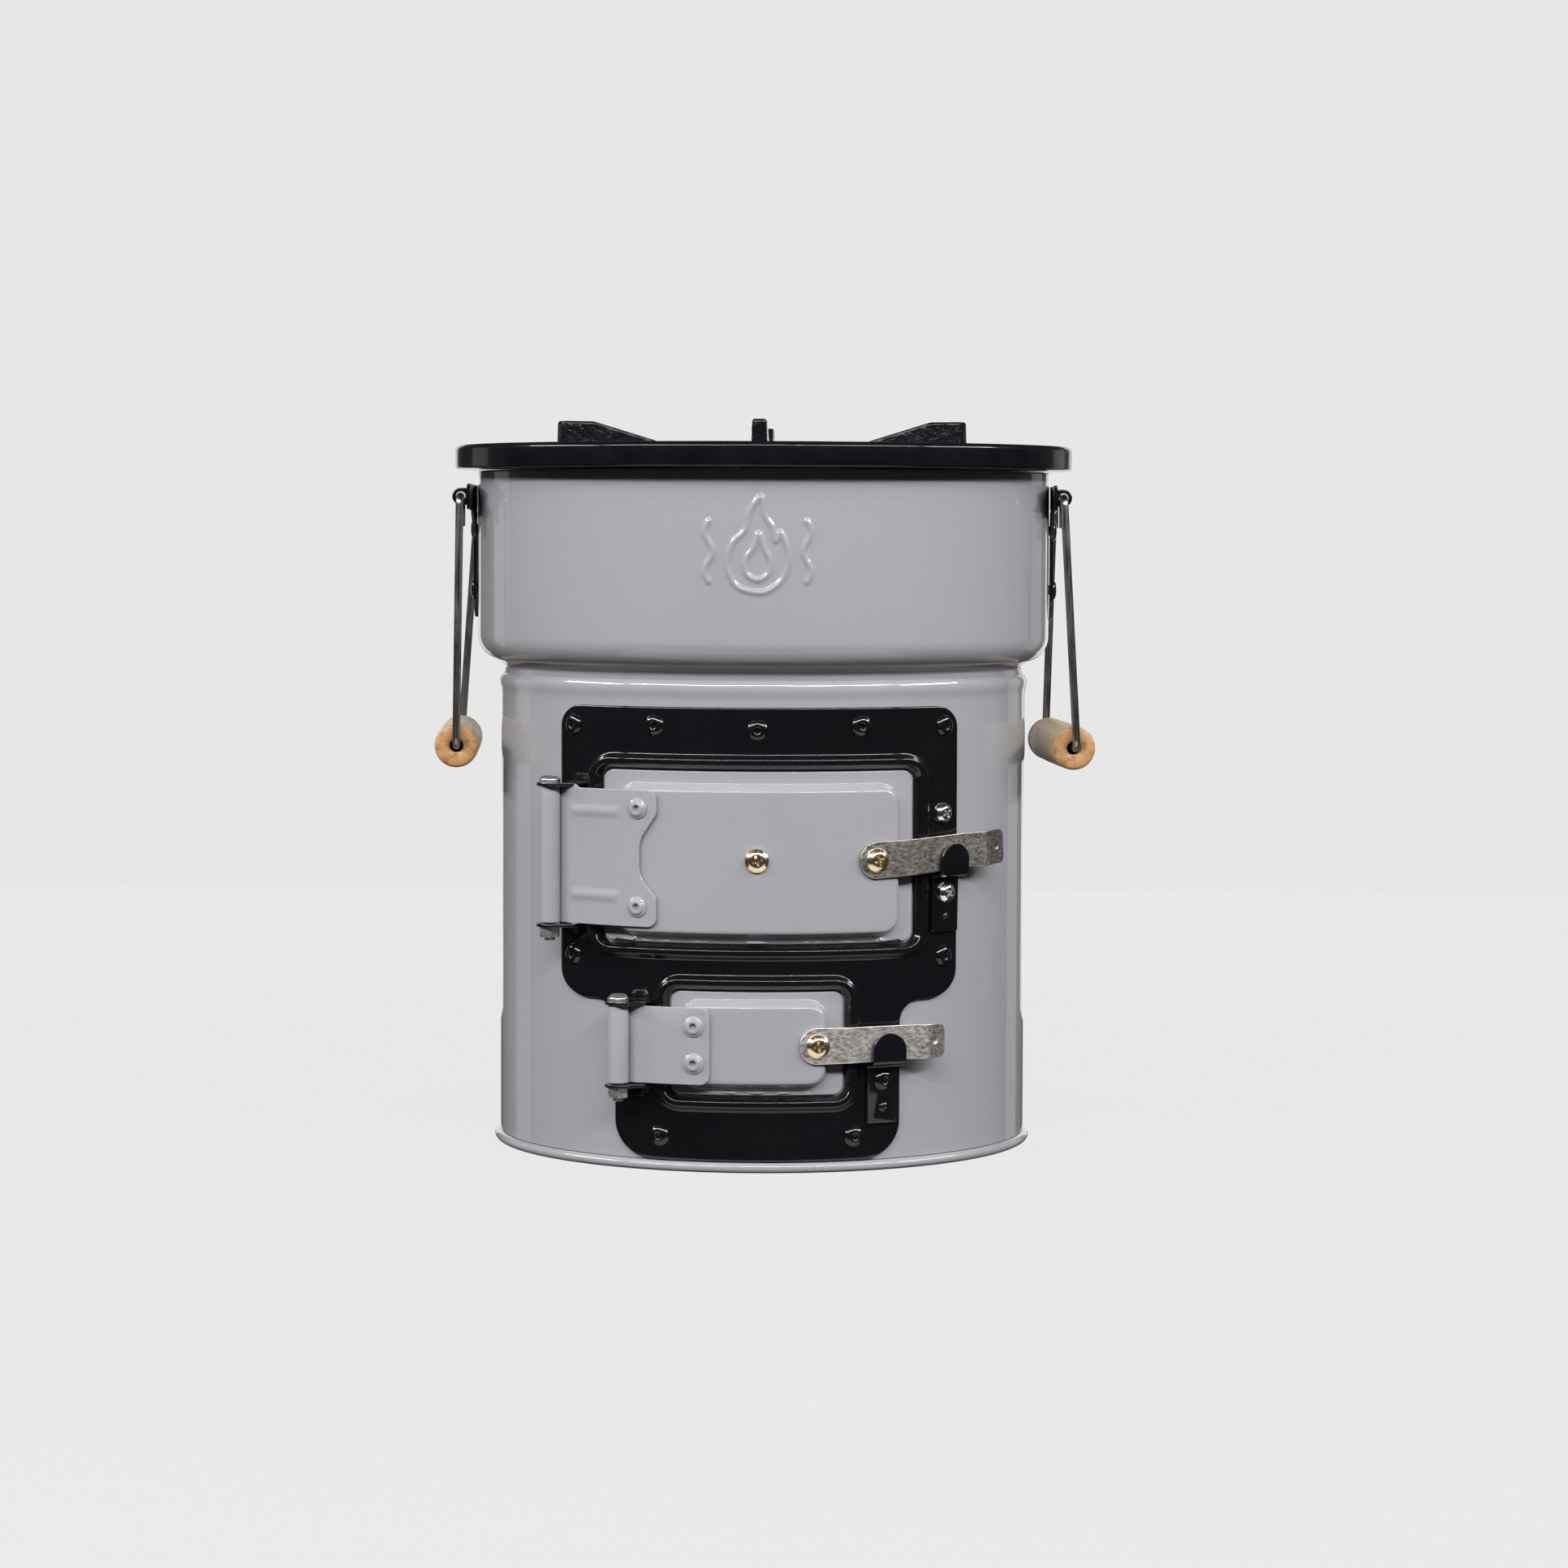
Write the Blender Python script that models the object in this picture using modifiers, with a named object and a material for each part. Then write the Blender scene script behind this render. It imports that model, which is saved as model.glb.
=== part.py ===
"""A portable rocket stove: enamelled shell, cast iron top, two latched doors and two bail handles.

Units are metres and Z is up. The doors face -Y, and the origin is the centre of the base.
Angles round the body are measured from -Y towards +X.
"""

import math

import bmesh
import bpy
from mathutils import Matrix, Vector

# Fineness of the round shapes
BODY_FACETS = 48
CORE_FACETS = 28
FASTENER_FACETS = 8
BOLT_FACETS = 12
KNUCKLE_FACETS = 16
GRIP_FACETS = 20
CORNER_STEPS = 2
BEND_STEP = 2 * math.pi / BODY_FACETS

# Fits
GAP = 0.0003
DOOR_GAP = 0.0009
FUEL_TUNNEL_NARROWING = 0.0125
ASH_TUNNEL_NARROWING = 0.0030
CHANNEL_MARGIN = 0.0005

# Shell
SHELL_SHEET = 0.0008
BODY_RADIUS = 0.1160
BAND_RADIUS = 0.1260
NECK_RADIUS = 0.1146
BEAD_RADIUS = 0.1168
BAND_TOP = 0.2948
SHOULDER_BOTTOM = 0.2230
SHOULDER_ROUND = 0.0118
SKIRT_BOTTOM = 0.1960
LOWER_SHELL_TOP = 0.2060
SEAM_RADIUS = 0.1185
SEAM_TOP = 0.0045
PAN_SHEET = 0.0008

# Cast iron top
RING_RADIUS = 0.1360
RING_BOTTOM = 0.2955
RING_TOP = 0.3060
DISH_RADIUS = 0.1180
DISH_TOP = 0.3005
DISH_THICKNESS = 0.0050
TOP_HOLE_RADIUS = 0.0500
FIN_COUNT = 6
FIN_OUTER = 0.1002
FIN_FLAT = 0.0850
FIN_SLOPE_END = 0.0545
FIN_SLOPE_HEIGHT = 0.3080
FIN_TOP = 0.3160
FIN_INNER = 0.0530
FIN_WIDTH = 0.0070
FIN_TOP_WIDTH = 0.0060

# Core
FLOOR_TILE_TOP = 0.0180
FLOOR_TILE_RADIUS = 0.1120
CHAMBER_RADIUS = 0.0615
RISER_RADIUS = 0.0525
CHAMBER_SHEET = 0.0015
CHAMBER_SHOULDER = 0.1850
RISER_BOTTOM = 0.2050
CHAMBER_TOP = 0.2945
LEDGE_HEIGHT = 0.0790
LEDGE_DEPTH = 0.0030
GRATE_THICKNESS = 0.0045
GRATE_RADIUS = 0.0588
GRATE_SLOT = 0.0070
GRATE_SLOT_PITCH = 0.0140
INSULATION_OUTER = 0.1130
INSULATION_BAND = 0.1220
INSULATION_TOP = 0.2890
TOP_PAN_HEIGHT = 0.2915
TUNNEL_SHEET = 0.0012
TUNNEL_OUTER = 0.1145
TUNNEL_INNER = 0.0622

# Door frame and doors
FRAME_RADIUS = 0.1178
FRAME_SHEET = 0.0015
FRAME_HALF_WIDTH = 0.0844
FRAME_FOOT_HALF_WIDTH = 0.0603
FRAME_TOP = 0.1955
FRAME_SHOULDER = 0.0715
FRAME_BOTTOM = 0.0050
OPENING_CORNER = 0.0050
RIB_PROFILE = ((0.0055, 0.0), (0.0040, 0.0027), (0.0018, 0.0027), (0.0, 0.0))
FUEL_OPENING = (-0.0660, 0.0660, 0.0957, 0.1697)
ASH_OPENING = (-0.0371, 0.0371, 0.0321, 0.0774)
FUEL_WINDOW_MARGIN = 0.0042
FUEL_RAISED = (-0.0575, 0.0575, 0.1005, 0.1620)
ASH_RAISED = (-0.0306, 0.0282, 0.0374, 0.0717)
DOOR_SHEET = 0.0010
DOOR_RISE = 0.0050
DOOR_SLOPE = 0.0022
RAISED_CORNER = 0.0070

# Hinges
HINGE_RADIUS = 0.1280
FUEL_HINGE_ANGLE = math.radians(-43.6)
ASH_HINGE_ANGLE = math.radians(-27.0)
FUEL_STRAP = (0.1033, 0.1608)
ASH_STRAP = (0.0378, 0.0703)
FUEL_STRAP_END = -0.0418
ASH_STRAP_END = -0.0194
STRAP_SHEET = 0.0012
KNUCKLE_RADIUS = 0.0044
KNUCKLE_BORE = 0.00275
BOLT_RADIUS = 0.0024
BOLT_HEAD_RADIUS = 0.0045
BOLT_HEAD_HEIGHT = 0.0028
EAR_THICKNESS = 0.0015
EAR_GAP = 0.0004
EAR_RADIUS = 0.0055
EAR_REACH = 0.0110
NUT_RADIUS = 0.0046
NUT_HEIGHT = 0.0040

# Latches and keepers
LATCH_WIDTH = 0.0154
LATCH_SHEET = 0.0011
LATCH_PLANE = FRAME_RADIUS + DOOR_RISE + GAP + LATCH_SHEET / 2
FUEL_LATCH_ANGLE = math.radians(23.8)
FUEL_LATCH_HEIGHT = 0.1317
ASH_LATCH_ANGLE = math.radians(11.9)
ASH_LATCH_HEIGHT = 0.0543
FUEL_LATCH_TILT = math.radians(2.8)
ASH_LATCH_TILT = 0.0
LATCH_RIDGE = (0.0155, 0.0180)
LATCH_RIDGE_RISE = 0.0028
FUEL_LATCH_END = 0.0305
ASH_LATCH_END = 0.0272
LATCH_END_DROP = 0.0010
KEEPER_WIDTH = 0.0155
KEEPER_SHEET = 0.0012
KEEPER_TONGUE_RADIUS = 0.1245
FUEL_KEEPER_ANGLE = math.radians(41.7)
FUEL_KEEPER = (0.0997, 0.1236, 0.1378)
ASH_KEEPER_ANGLE = math.radians(26.5)
ASH_KEEPER = (0.0203, 0.0448, 0.0592)

# Rivets and screws
RIVET_HEAD_RADIUS = 0.0045
RIVET_HEAD_HEIGHT = 0.0016
SCREW_HEAD_RADIUS = 0.0048
SCREW_HEAD_HEIGHT = 0.0022
SHANK_RADIUS = 0.0021
HOLE_RADIUS = 0.0025
FRAME_SHANK = 0.0036
KEEPER_SHANK = 0.0051
STRAP_SHANK = 0.0030
LATCH_SHANK = 0.0040
CENTRE_SHANK = 0.0060
BRACKET_SHANK = 0.0046
FRAME_RIVETS = {
    "frame_rivet_top_left": (-0.0785, 0.1870),
    "frame_rivet_top_mid_left": (-0.0434, 0.1876),
    "frame_rivet_top_centre": (0.0, 0.1860),
    "frame_rivet_top_mid_right": (0.0434, 0.1876),
    "frame_rivet_top_right": (0.0785, 0.1870),
    "frame_rivet_side_left": (-0.0785, 0.0893),
    "frame_rivet_side_right": (0.0785, 0.0893),
    "frame_rivet_bottom_left": (-0.0409, 0.0150),
    "frame_rivet_bottom_right": (0.0409, 0.0150),
}
FRAME_SCREW = (0.0779, 0.1500)
FUEL_KEEPER_SCREW_HEIGHT = 0.1163
ASH_KEEPER_RIVET_HEIGHT = 0.0384
FUEL_STRAP_RIVETS = ((-0.0497, 0.1530), (-0.0497, 0.1117))
ASH_STRAP_RIVETS = ((-0.0260, 0.0623), (-0.0260, 0.0468))
FUEL_DOOR_SCREW_HEIGHT = 0.1320
LINER = (-0.0480, 0.0480, 0.1070, 0.1560)
LINER_RADIUS = 0.1190

# Handles
BRACKET_FACE = 0.1278
BRACKET_SHEET = 0.0015
BRACKET_BAR = (0.2780, 0.2890)
BRACKET_TIP = 0.2290
BRACKET_STEM = 0.0085
BRACKET_RIVET_HEIGHTS = (0.2694, 0.2433)
HANDLE_EAR_FACE = 0.0425
HANDLE_BAR_END = 0.0428
HANDLE_EAR_RADIUS = 0.0037
BAIL_PIVOT = (0.1304, 0.2835)
BAIL_WIRE = 0.0034
BAIL_LEG = 0.0475
BAIL_TAIL = 0.0385
BAIL_TAIL_LENGTH = 0.0130
GRIP_CENTRE = (0.1320, 0.1755)
RIGHT_HANG = (0.0, 0.0046, math.radians(4.6))
LEFT_HANG = (0.0030, -0.0030, math.radians(3.6))
GRIP_RADIUS = 0.0096
GRIP_BORE = 0.0030
GRIP_HALF_LENGTH = 0.0445


def clear_scene():
    for obj in list(bpy.data.objects):
        bpy.data.objects.remove(obj)


def collection(name):
    made = bpy.data.collections.new(name)
    bpy.context.scene.collection.children.link(made)
    return made


def finish(name, colour, roughness, metallic):
    made = bpy.data.materials.new(name)
    made.use_nodes = True
    shader = made.node_tree.nodes["Principled BSDF"]
    shader.inputs["Base Color"].default_value = (*colour, 1)
    shader.inputs["Roughness"].default_value = roughness
    shader.inputs["Metallic"].default_value = metallic
    return made


clear_scene()
PARTS = collection("rocket_stove")
CUTTERS = collection("cutters")
GREY_ENAMEL = finish("grey_enamel", (0.42, 0.42, 0.45), 0.25, 0.0)
BLACK_ENAMEL = finish("black_enamel", (0.012, 0.012, 0.016), 0.30, 0.0)
CAST_IRON = finish("cast_iron", (0.015, 0.016, 0.020), 0.45, 0.2)
BRIGHT_STEEL = finish("bright_steel", (0.60, 0.58, 0.55), 0.25, 1.0)
YELLOW_ZINC = finish("yellow_zinc", (0.70, 0.52, 0.28), 0.30, 1.0)
WIRE_STEEL = finish("wire_steel", (0.14, 0.14, 0.15), 0.35, 1.0)
WOOD = finish("wood", (0.62, 0.42, 0.22), 0.55, 0.0)
CHAMBER_STEEL = finish("chamber_steel", (0.30, 0.28, 0.26), 0.50, 1.0)
CERAMIC = finish("ceramic", (0.75, 0.66, 0.55), 0.85, 0.0)
MINERAL_WOOL = finish("mineral_wool", (0.55, 0.50, 0.42), 0.95, 0.0)


# --- Shapes ---------------------------------------------------------------------------------


def add(name, mesh, material, place=Matrix()):
    obj = bpy.data.objects.new(name, mesh)
    obj.matrix_world = place
    mesh.materials.append(material)
    PARTS.objects.link(obj)
    return obj


def as_cutter(obj):
    PARTS.objects.unlink(obj)
    CUTTERS.objects.link(obj)
    obj.hide_render = True
    obj.display_type = "WIRE"
    return obj


def boolean(obj, operation, other):
    modifier = obj.modifiers.new(operation.lower(), "BOOLEAN")
    modifier.operation = operation
    modifier.solver = "EXACT"
    modifier.object = other


def solidify(obj, thickness):
    modifier = obj.modifiers.new("thickness", "SOLIDIFY")
    modifier.thickness = thickness
    modifier.offset = -1
    modifier.use_even_offset = True


def mesh_of(bm, name):
    mesh = bpy.data.meshes.new(name)
    bm.to_mesh(mesh)
    bm.free()
    return mesh


def arc(centre, radius, start, end, steps):
    """Points on an arc in a plane, from one angle in degrees to another."""
    angles = [math.radians(start + (end - start) * k / steps) for k in range(steps + 1)]
    return [(centre[0] + radius * math.cos(a), centre[1] + radius * math.sin(a)) for a in angles]


def rounded_corner(before, corner, after, radius, steps):
    """The arc that replaces a corner of a path, as points."""
    if radius == 0:
        return [corner]
    back = (before - corner).normalized()
    ahead = (after - corner).normalized()
    half = back.angle(ahead) / 2
    middle = corner + (back + ahead).normalized() * radius / math.sin(half)
    start = corner + back * radius / math.tan(half) - middle
    end = corner + ahead * radius / math.tan(half) - middle
    turn = start.angle(end)
    axis = start.cross(end)
    return [middle + Matrix.Rotation(turn * k / steps, 3, axis) @ start for k in range(steps + 1)]


def outline(corners, steps=CORNER_STEPS):
    """A closed flat outline through (x, y, radius) corners, as (x, y) pairs."""
    at = [Vector((x, y, 0)) for x, y, _ in corners]
    points = []
    for k, (_, _, radius) in enumerate(corners):
        points += rounded_corner(at[k - 1], at[k], at[(k + 1) % len(at)], radius, steps)
    return [(p.x, p.y) for p in points]


def rounded_box(left, right, low, high, radius, steps=CORNER_STEPS):
    corners = ((left, low), (right, low), (right, high), (left, high))
    return outline([(x, y, radius) for x, y in corners], steps)


def turned(name, profile, facets, material, closed=False, place=Matrix()):
    """A profile of (radius, height) points, listed down its outer side, turned about Z."""
    mesh = bpy.data.meshes.new(name)
    edges = [(k, k + 1) for k in range(len(profile) - 1)]
    if closed:
        edges.append((len(profile) - 1, 0))
    mesh.from_pydata([(x, 0, z) for x, z in profile], edges, [])
    obj = add(name, mesh, material, place)
    modifier = obj.modifiers.new("turn", "SCREW")
    modifier.steps = facets
    modifier.render_steps = facets
    modifier.use_merge_vertices = True
    modifier.merge_threshold = 0.00001
    return obj


def box(name, low, high, material):
    bm = bmesh.new()
    size = Vector(high) - Vector(low)
    middle = (Vector(high) + Vector(low)) / 2
    bmesh.ops.create_cube(bm, size=1, matrix=Matrix.Translation(middle) @ Matrix.Diagonal((*size, 1)))
    return add(name, mesh_of(bm, name), material)


def plate(points, thickness):
    """A flat outline as a solid of this thickness, its middle on the XY plane, as a BMesh."""
    curve = bpy.data.curves.new("plate", "CURVE")
    curve.dimensions = "2D"
    curve.fill_mode = "BOTH"
    curve.extrude = thickness / 2
    spline = curve.splines.new("POLY")
    spline.points.add(len(points) - 1)
    for target, (x, y) in zip(spline.points, points):
        target.co = (x, y, 0, 1)
    spline.use_cyclic_u = True
    holder = bpy.data.objects.new("plate", curve)
    PARTS.objects.link(holder)
    graph = bpy.context.evaluated_depsgraph_get()
    mesh = bpy.data.meshes.new_from_object(holder.evaluated_get(graph))
    bm = bmesh.new()
    bm.from_mesh(mesh)
    bmesh.ops.remove_doubles(bm, verts=bm.verts, dist=0.000001)
    bmesh.ops.recalc_face_normals(bm, faces=bm.faces)
    bpy.data.objects.remove(holder)
    bpy.data.meshes.remove(mesh)
    return bm


def facing(angle, radius=0.0, height=0.0):
    """The frame at a place on the body: X runs round it, Y runs up and Z points straight out."""
    turn = Matrix.Rotation(angle, 4, "Z") @ Matrix.Rotation(math.pi / 2, 4, "X")
    return Matrix.Translation((radius * math.sin(angle), -radius * math.cos(angle), height)) @ turn


def angle_at(x, radius):
    return math.asin(x / radius)


def cut_across(bm, distances):
    """Cuts a mesh with planes across X, so that it can bend there."""
    for distance in distances:
        everything = bm.verts[:] + bm.edges[:] + bm.faces[:]
        bmesh.ops.bisect_plane(bm, geom=everything, plane_co=(distance, 0, 0), plane_no=(1, 0, 0))


def bend_round_body(bm):
    """Wraps a flat mesh round the Z axis: X holds the angle, Y the height and Z the radius."""
    low = math.floor(min(v.co.x for v in bm.verts) / BEND_STEP)
    high = math.ceil(max(v.co.x for v in bm.verts) / BEND_STEP)
    cut_across(bm, [k * BEND_STEP for k in range(low, high + 1)])
    for v in bm.verts:
        angle, height, radius = v.co
        v.co = (radius * math.sin(angle), -radius * math.cos(angle), height)
    bmesh.ops.recalc_face_normals(bm, faces=bm.faces)
    outward = sum(f.normal.dot((f.calc_center_median().x, f.calc_center_median().y, 0)) for f in bm.faces)
    if outward < 0:
        bmesh.ops.reverse_faces(bm, faces=bm.faces)


def ring_of(bm, points, radius):
    """A loop of vertices, for points given as (x seen from the front, height), on a cylinder."""
    made = [bm.verts.new((angle_at(x, radius), y, radius)) for x, y in points]
    for k in range(len(made)):
        bm.edges.new((made[k - 1], made[k]))
    return made


def edge_of(first, second):
    return next(e for e in first.link_edges if second in e.verts)


def fill_between(bm, loops):
    edges = [edge_of(loop[k - 1], loop[k]) for loop in loops for k in range(len(loop))]
    bmesh.ops.triangle_fill(bm, use_beauty=True, use_dissolve=False, edges=edges)


def loft(bm, rings):
    for outer, inner in zip(rings, rings[1:]):
        for k in range(len(outer)):
            bm.faces.new((outer[k - 1], outer[k], inner[k], inner[k - 1]))


def curved_sheet(name, bm, thickness, material):
    bend_round_body(bm)
    obj = add(name, mesh_of(bm, name), material)
    solidify(obj, thickness)
    return obj


def drill(objects, places, radius=HOLE_RADIUS, length=0.012):
    """Cuts round holes at these places, along their Z, through each of the objects."""
    bm = bmesh.new()
    for place in places:
        bmesh.ops.create_cone(
            bm, cap_ends=True, segments=8, radius1=radius, radius2=radius, depth=length, matrix=place
        )
    cutter = as_cutter(add("holes", mesh_of(bm, "holes"), BLACK_ENAMEL))
    for obj in objects:
        boolean(obj, "DIFFERENCE", cutter)


def fastener(name, place, head_radius, head_height, shank_length, material):
    """A domed head with its underside at the place, and a shank below it."""
    profile = (
        (0, head_height), (head_radius * 0.6, head_height * 0.85), (head_radius, 0),
        (SHANK_RADIUS, 0), (SHANK_RADIUS, -shank_length), (0, -shank_length),
    )
    return turned(name, profile, FASTENER_FACETS, material, place=place)


def rivet(name, place, shank_length, material):
    return fastener(name, place, RIVET_HEAD_RADIUS, RIVET_HEAD_HEIGHT, shank_length, material)


def screw(name, place, shank_length, material):
    return fastener(name, place, SCREW_HEAD_RADIUS, SCREW_HEAD_HEIGHT, shank_length, material)


# --- Shell and core ---------------------------------------------------------------------------


def make_lower_shell():
    profile = (
        (BODY_RADIUS - 0.0002, LOWER_SHELL_TOP), (BEAD_RADIUS, LOWER_SHELL_TOP - 0.0012),
        (BEAD_RADIUS, LOWER_SHELL_TOP - 0.0032), (BODY_RADIUS, LOWER_SHELL_TOP - 0.0065),
        (BODY_RADIUS, SEAM_TOP + GAP),
    )
    obj = turned("lower_shell", profile, BODY_FACETS, GREY_ENAMEL)
    solidify(obj, SHELL_SHEET)
    return obj


def make_upper_shell():
    shoulder = arc((BAND_RADIUS - SHOULDER_ROUND, SHOULDER_BOTTOM), SHOULDER_ROUND, 0, -78, 3)
    neck = ((NECK_RADIUS, LOWER_SHELL_TOP + 0.0028), (NECK_RADIUS, SKIRT_BOTTOM))
    obj = turned("upper_shell", [(BAND_RADIUS, BAND_TOP), *shoulder, *neck], BODY_FACETS, GREY_ENAMEL)
    solidify(obj, SHELL_SHEET)
    return obj


def make_base_pan():
    inner = SEAM_RADIUS - 0.0042
    profile = (
        (0, SEAM_TOP - 0.0003), (BODY_RADIUS, SEAM_TOP), (SEAM_RADIUS, SEAM_TOP), (SEAM_RADIUS, 0.0007),
        (SEAM_RADIUS - 0.0006, 0), (inner + 0.0006, 0), (inner, 0.0007),
        (inner, SEAM_TOP - 0.0003 - PAN_SHEET), (0, SEAM_TOP - 0.0003 - PAN_SHEET),
    )
    return turned("base_pan", profile, BODY_FACETS, GREY_ENAMEL)


def make_cast_top():
    profile = (
        (TOP_HOLE_RADIUS, DISH_TOP), (DISH_RADIUS, DISH_TOP), (DISH_RADIUS + 0.0095, RING_TOP - 0.0018),
        (RING_RADIUS - 0.0060, RING_TOP), (RING_RADIUS - 0.0014, RING_TOP - 0.0002),
        (RING_RADIUS, RING_TOP - 0.0018), (RING_RADIUS, RING_BOTTOM + 0.0012),
        (RING_RADIUS - 0.0010, RING_BOTTOM), (TOP_HOLE_RADIUS, RING_BOTTOM),
    )
    obj = turned("cast_iron_top", profile, BODY_FACETS, CAST_IRON, closed=True)
    for number in range(FIN_COUNT):
        boolean(obj, "UNION", as_cutter(pot_fin(number)))
    return obj


def pot_fin(number):
    """One pot support: a radial blade, thinner at its top, that slopes down towards the middle."""
    side = (
        (FIN_INNER, DISH_TOP - 0.002), (FIN_OUTER + 0.0003, DISH_TOP - 0.002), (FIN_OUTER, FIN_TOP),
        (FIN_FLAT, FIN_TOP), (FIN_SLOPE_END, FIN_SLOPE_HEIGHT), (FIN_INNER, DISH_TOP + 0.003),
    )
    bm = plate(side, FIN_WIDTH)
    for v in bm.verts:
        drawn_in = (v.co.y - DISH_TOP) / (FIN_TOP - DISH_TOP)
        v.co.z *= 1 + (FIN_TOP_WIDTH / FIN_WIDTH - 1) * max(0, drawn_in)
    stand = Matrix.Rotation(math.pi / 2, 4, "X")
    turn = Matrix.Rotation(2 * math.pi * number / FIN_COUNT - math.pi / 2, 4, "Z")
    return add(f"fin_{number + 1}", mesh_of(bm, "fin"), CAST_IRON, turn @ stand)


def make_top_pan():
    outer = BAND_RADIUS - 0.0018
    inner = RISER_RADIUS + 0.0015
    profile = (
        (inner, TOP_PAN_HEIGHT + 0.001), (outer, TOP_PAN_HEIGHT + 0.001),
        (outer, TOP_PAN_HEIGHT), (inner, TOP_PAN_HEIGHT),
    )
    return turned("top_pan", profile, CORE_FACETS, CHAMBER_STEEL, closed=True)


def chamber_tube(name, profile):
    obj = turned(name, profile, CORE_FACETS, CHAMBER_STEEL)
    solidify(obj, CHAMBER_SHEET)
    return obj


def make_chamber():
    """The riser, and the fire box and ash box under it, with a crimp between them for the grate."""
    chamber_tube("riser_tube", (
        (RISER_RADIUS, CHAMBER_TOP), (RISER_RADIUS, RISER_BOTTOM), (CHAMBER_RADIUS, CHAMBER_SHOULDER),
    ))
    fire_box = chamber_tube("fire_box", (
        (CHAMBER_RADIUS, CHAMBER_SHOULDER - CHAMBER_SHEET), (CHAMBER_RADIUS, LEDGE_HEIGHT + 0.002),
        (CHAMBER_RADIUS - LEDGE_DEPTH, LEDGE_HEIGHT),
    ))
    ash_box = chamber_tube("ash_box", (
        (CHAMBER_RADIUS, LEDGE_HEIGHT - 0.002), (CHAMBER_RADIUS, FLOOR_TILE_TOP + GAP),
    ))
    return fire_box, ash_box


def make_floor_tile():
    low = SEAM_TOP + GAP
    profile = ((0, FLOOR_TILE_TOP), (FLOOR_TILE_RADIUS, FLOOR_TILE_TOP), (FLOOR_TILE_RADIUS, low), (0, low))
    return turned("floor_tile", profile, CORE_FACETS, CERAMIC)


def make_insulation():
    low = FLOOR_TILE_TOP + GAP
    wide = CHAMBER_RADIUS + 0.0012
    narrow = RISER_RADIUS + 0.0012
    profile = (
        (narrow, INSULATION_TOP), (INSULATION_BAND, INSULATION_TOP), (INSULATION_BAND, SHOULDER_BOTTOM),
        (INSULATION_OUTER, SHOULDER_BOTTOM - 0.012), (INSULATION_OUTER, low), (wide, low),
        (wide, CHAMBER_SHOULDER), (narrow, RISER_BOTTOM),
    )
    return turned("insulation_fill", profile, CORE_FACETS, MINERAL_WOOL, closed=True)


def tunnel_size(opening, narrowing):
    left, right, low, high = opening
    return left + narrowing, right - narrowing, low + 0.0028, high - 0.0027


def duct_cutter(name, size, margin):
    left, right, low, high = size
    corner = (left - margin, -0.130, low - margin)
    return as_cutter(box(name, corner, (right + margin, -0.026, high + margin), CHAMBER_STEEL))


def make_tunnel(name, size):
    """A duct from the shell to the chamber, with both ends cut to their curves."""
    left, right, low, high = size
    obj = box(name, (left, -0.120, low), (right, -0.030, high), CHAMBER_STEEL)
    span = ((TUNNEL_INNER, high + 0.01), (TUNNEL_OUTER, high + 0.01), (TUNNEL_OUTER, low - 0.01),
            (TUNNEL_INNER, low - 0.01))
    cutter = as_cutter(turned(name + "_span", span, BODY_FACETS, CHAMBER_STEEL, closed=True))
    boolean(obj, "INTERSECT", cutter)
    boolean(obj, "DIFFERENCE", duct_cutter(name + "_bore", size, -TUNNEL_SHEET))
    return obj


def make_grate():
    low = LEDGE_HEIGHT + 0.0024
    high = low + GRATE_THICKNESS
    profile = ((0, high), (GRATE_RADIUS, high), (GRATE_RADIUS, low), (0, low))
    obj = turned("fire_grate", profile, CORE_FACETS, CAST_IRON)
    for k in range(-3, 4):
        middle = k * GRATE_SLOT_PITCH
        reach = math.sqrt((GRATE_RADIUS - 0.006) ** 2 - middle**2)
        low_corner = (middle - GRATE_SLOT / 2, -reach, low - 0.01)
        slot = box(f"slot_{k + 4}", low_corner, (middle + GRATE_SLOT / 2, reach, high + 0.01), CAST_IRON)
        boolean(obj, "DIFFERENCE", as_cutter(slot))
    return obj


# --- Door frame and doors -----------------------------------------------------------------------


def grown(opening, margin):
    left, right, low, high = opening
    return left - margin, right + margin, low - margin, high + margin


def make_door_frame():
    """The pressed plate on the shell, with a raised rib round each opening."""
    wide, narrow = FRAME_HALF_WIDTH, FRAME_FOOT_HALF_WIDTH
    edge = outline((
        (-narrow, FRAME_BOTTOM, 0.016), (narrow, FRAME_BOTTOM, 0.016), (narrow, FRAME_SHOULDER, 0.009),
        (wide, FRAME_SHOULDER, 0.012), (wide, FRAME_TOP, 0.009), (-wide, FRAME_TOP, 0.009),
        (-wide, FRAME_SHOULDER, 0.012), (-narrow, FRAME_SHOULDER, 0.009),
    ))
    bm = bmesh.new()
    loops = [ring_of(bm, edge, FRAME_RADIUS)]
    for opening in (FUEL_OPENING, ASH_OPENING):
        rings = []
        for margin, height in RIB_PROFILE:
            points = rounded_box(*grown(opening, margin), OPENING_CORNER + margin)
            ring = ring_of(bm, points, FRAME_RADIUS)
            for v in ring:
                v.co.z += height
            rings.append(ring)
        loft(bm, rings)
        loops.append(rings[0])
    fill_between(bm, loops)
    return curved_sheet("door_frame", bm, FRAME_SHEET, BLACK_ENAMEL)


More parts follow.
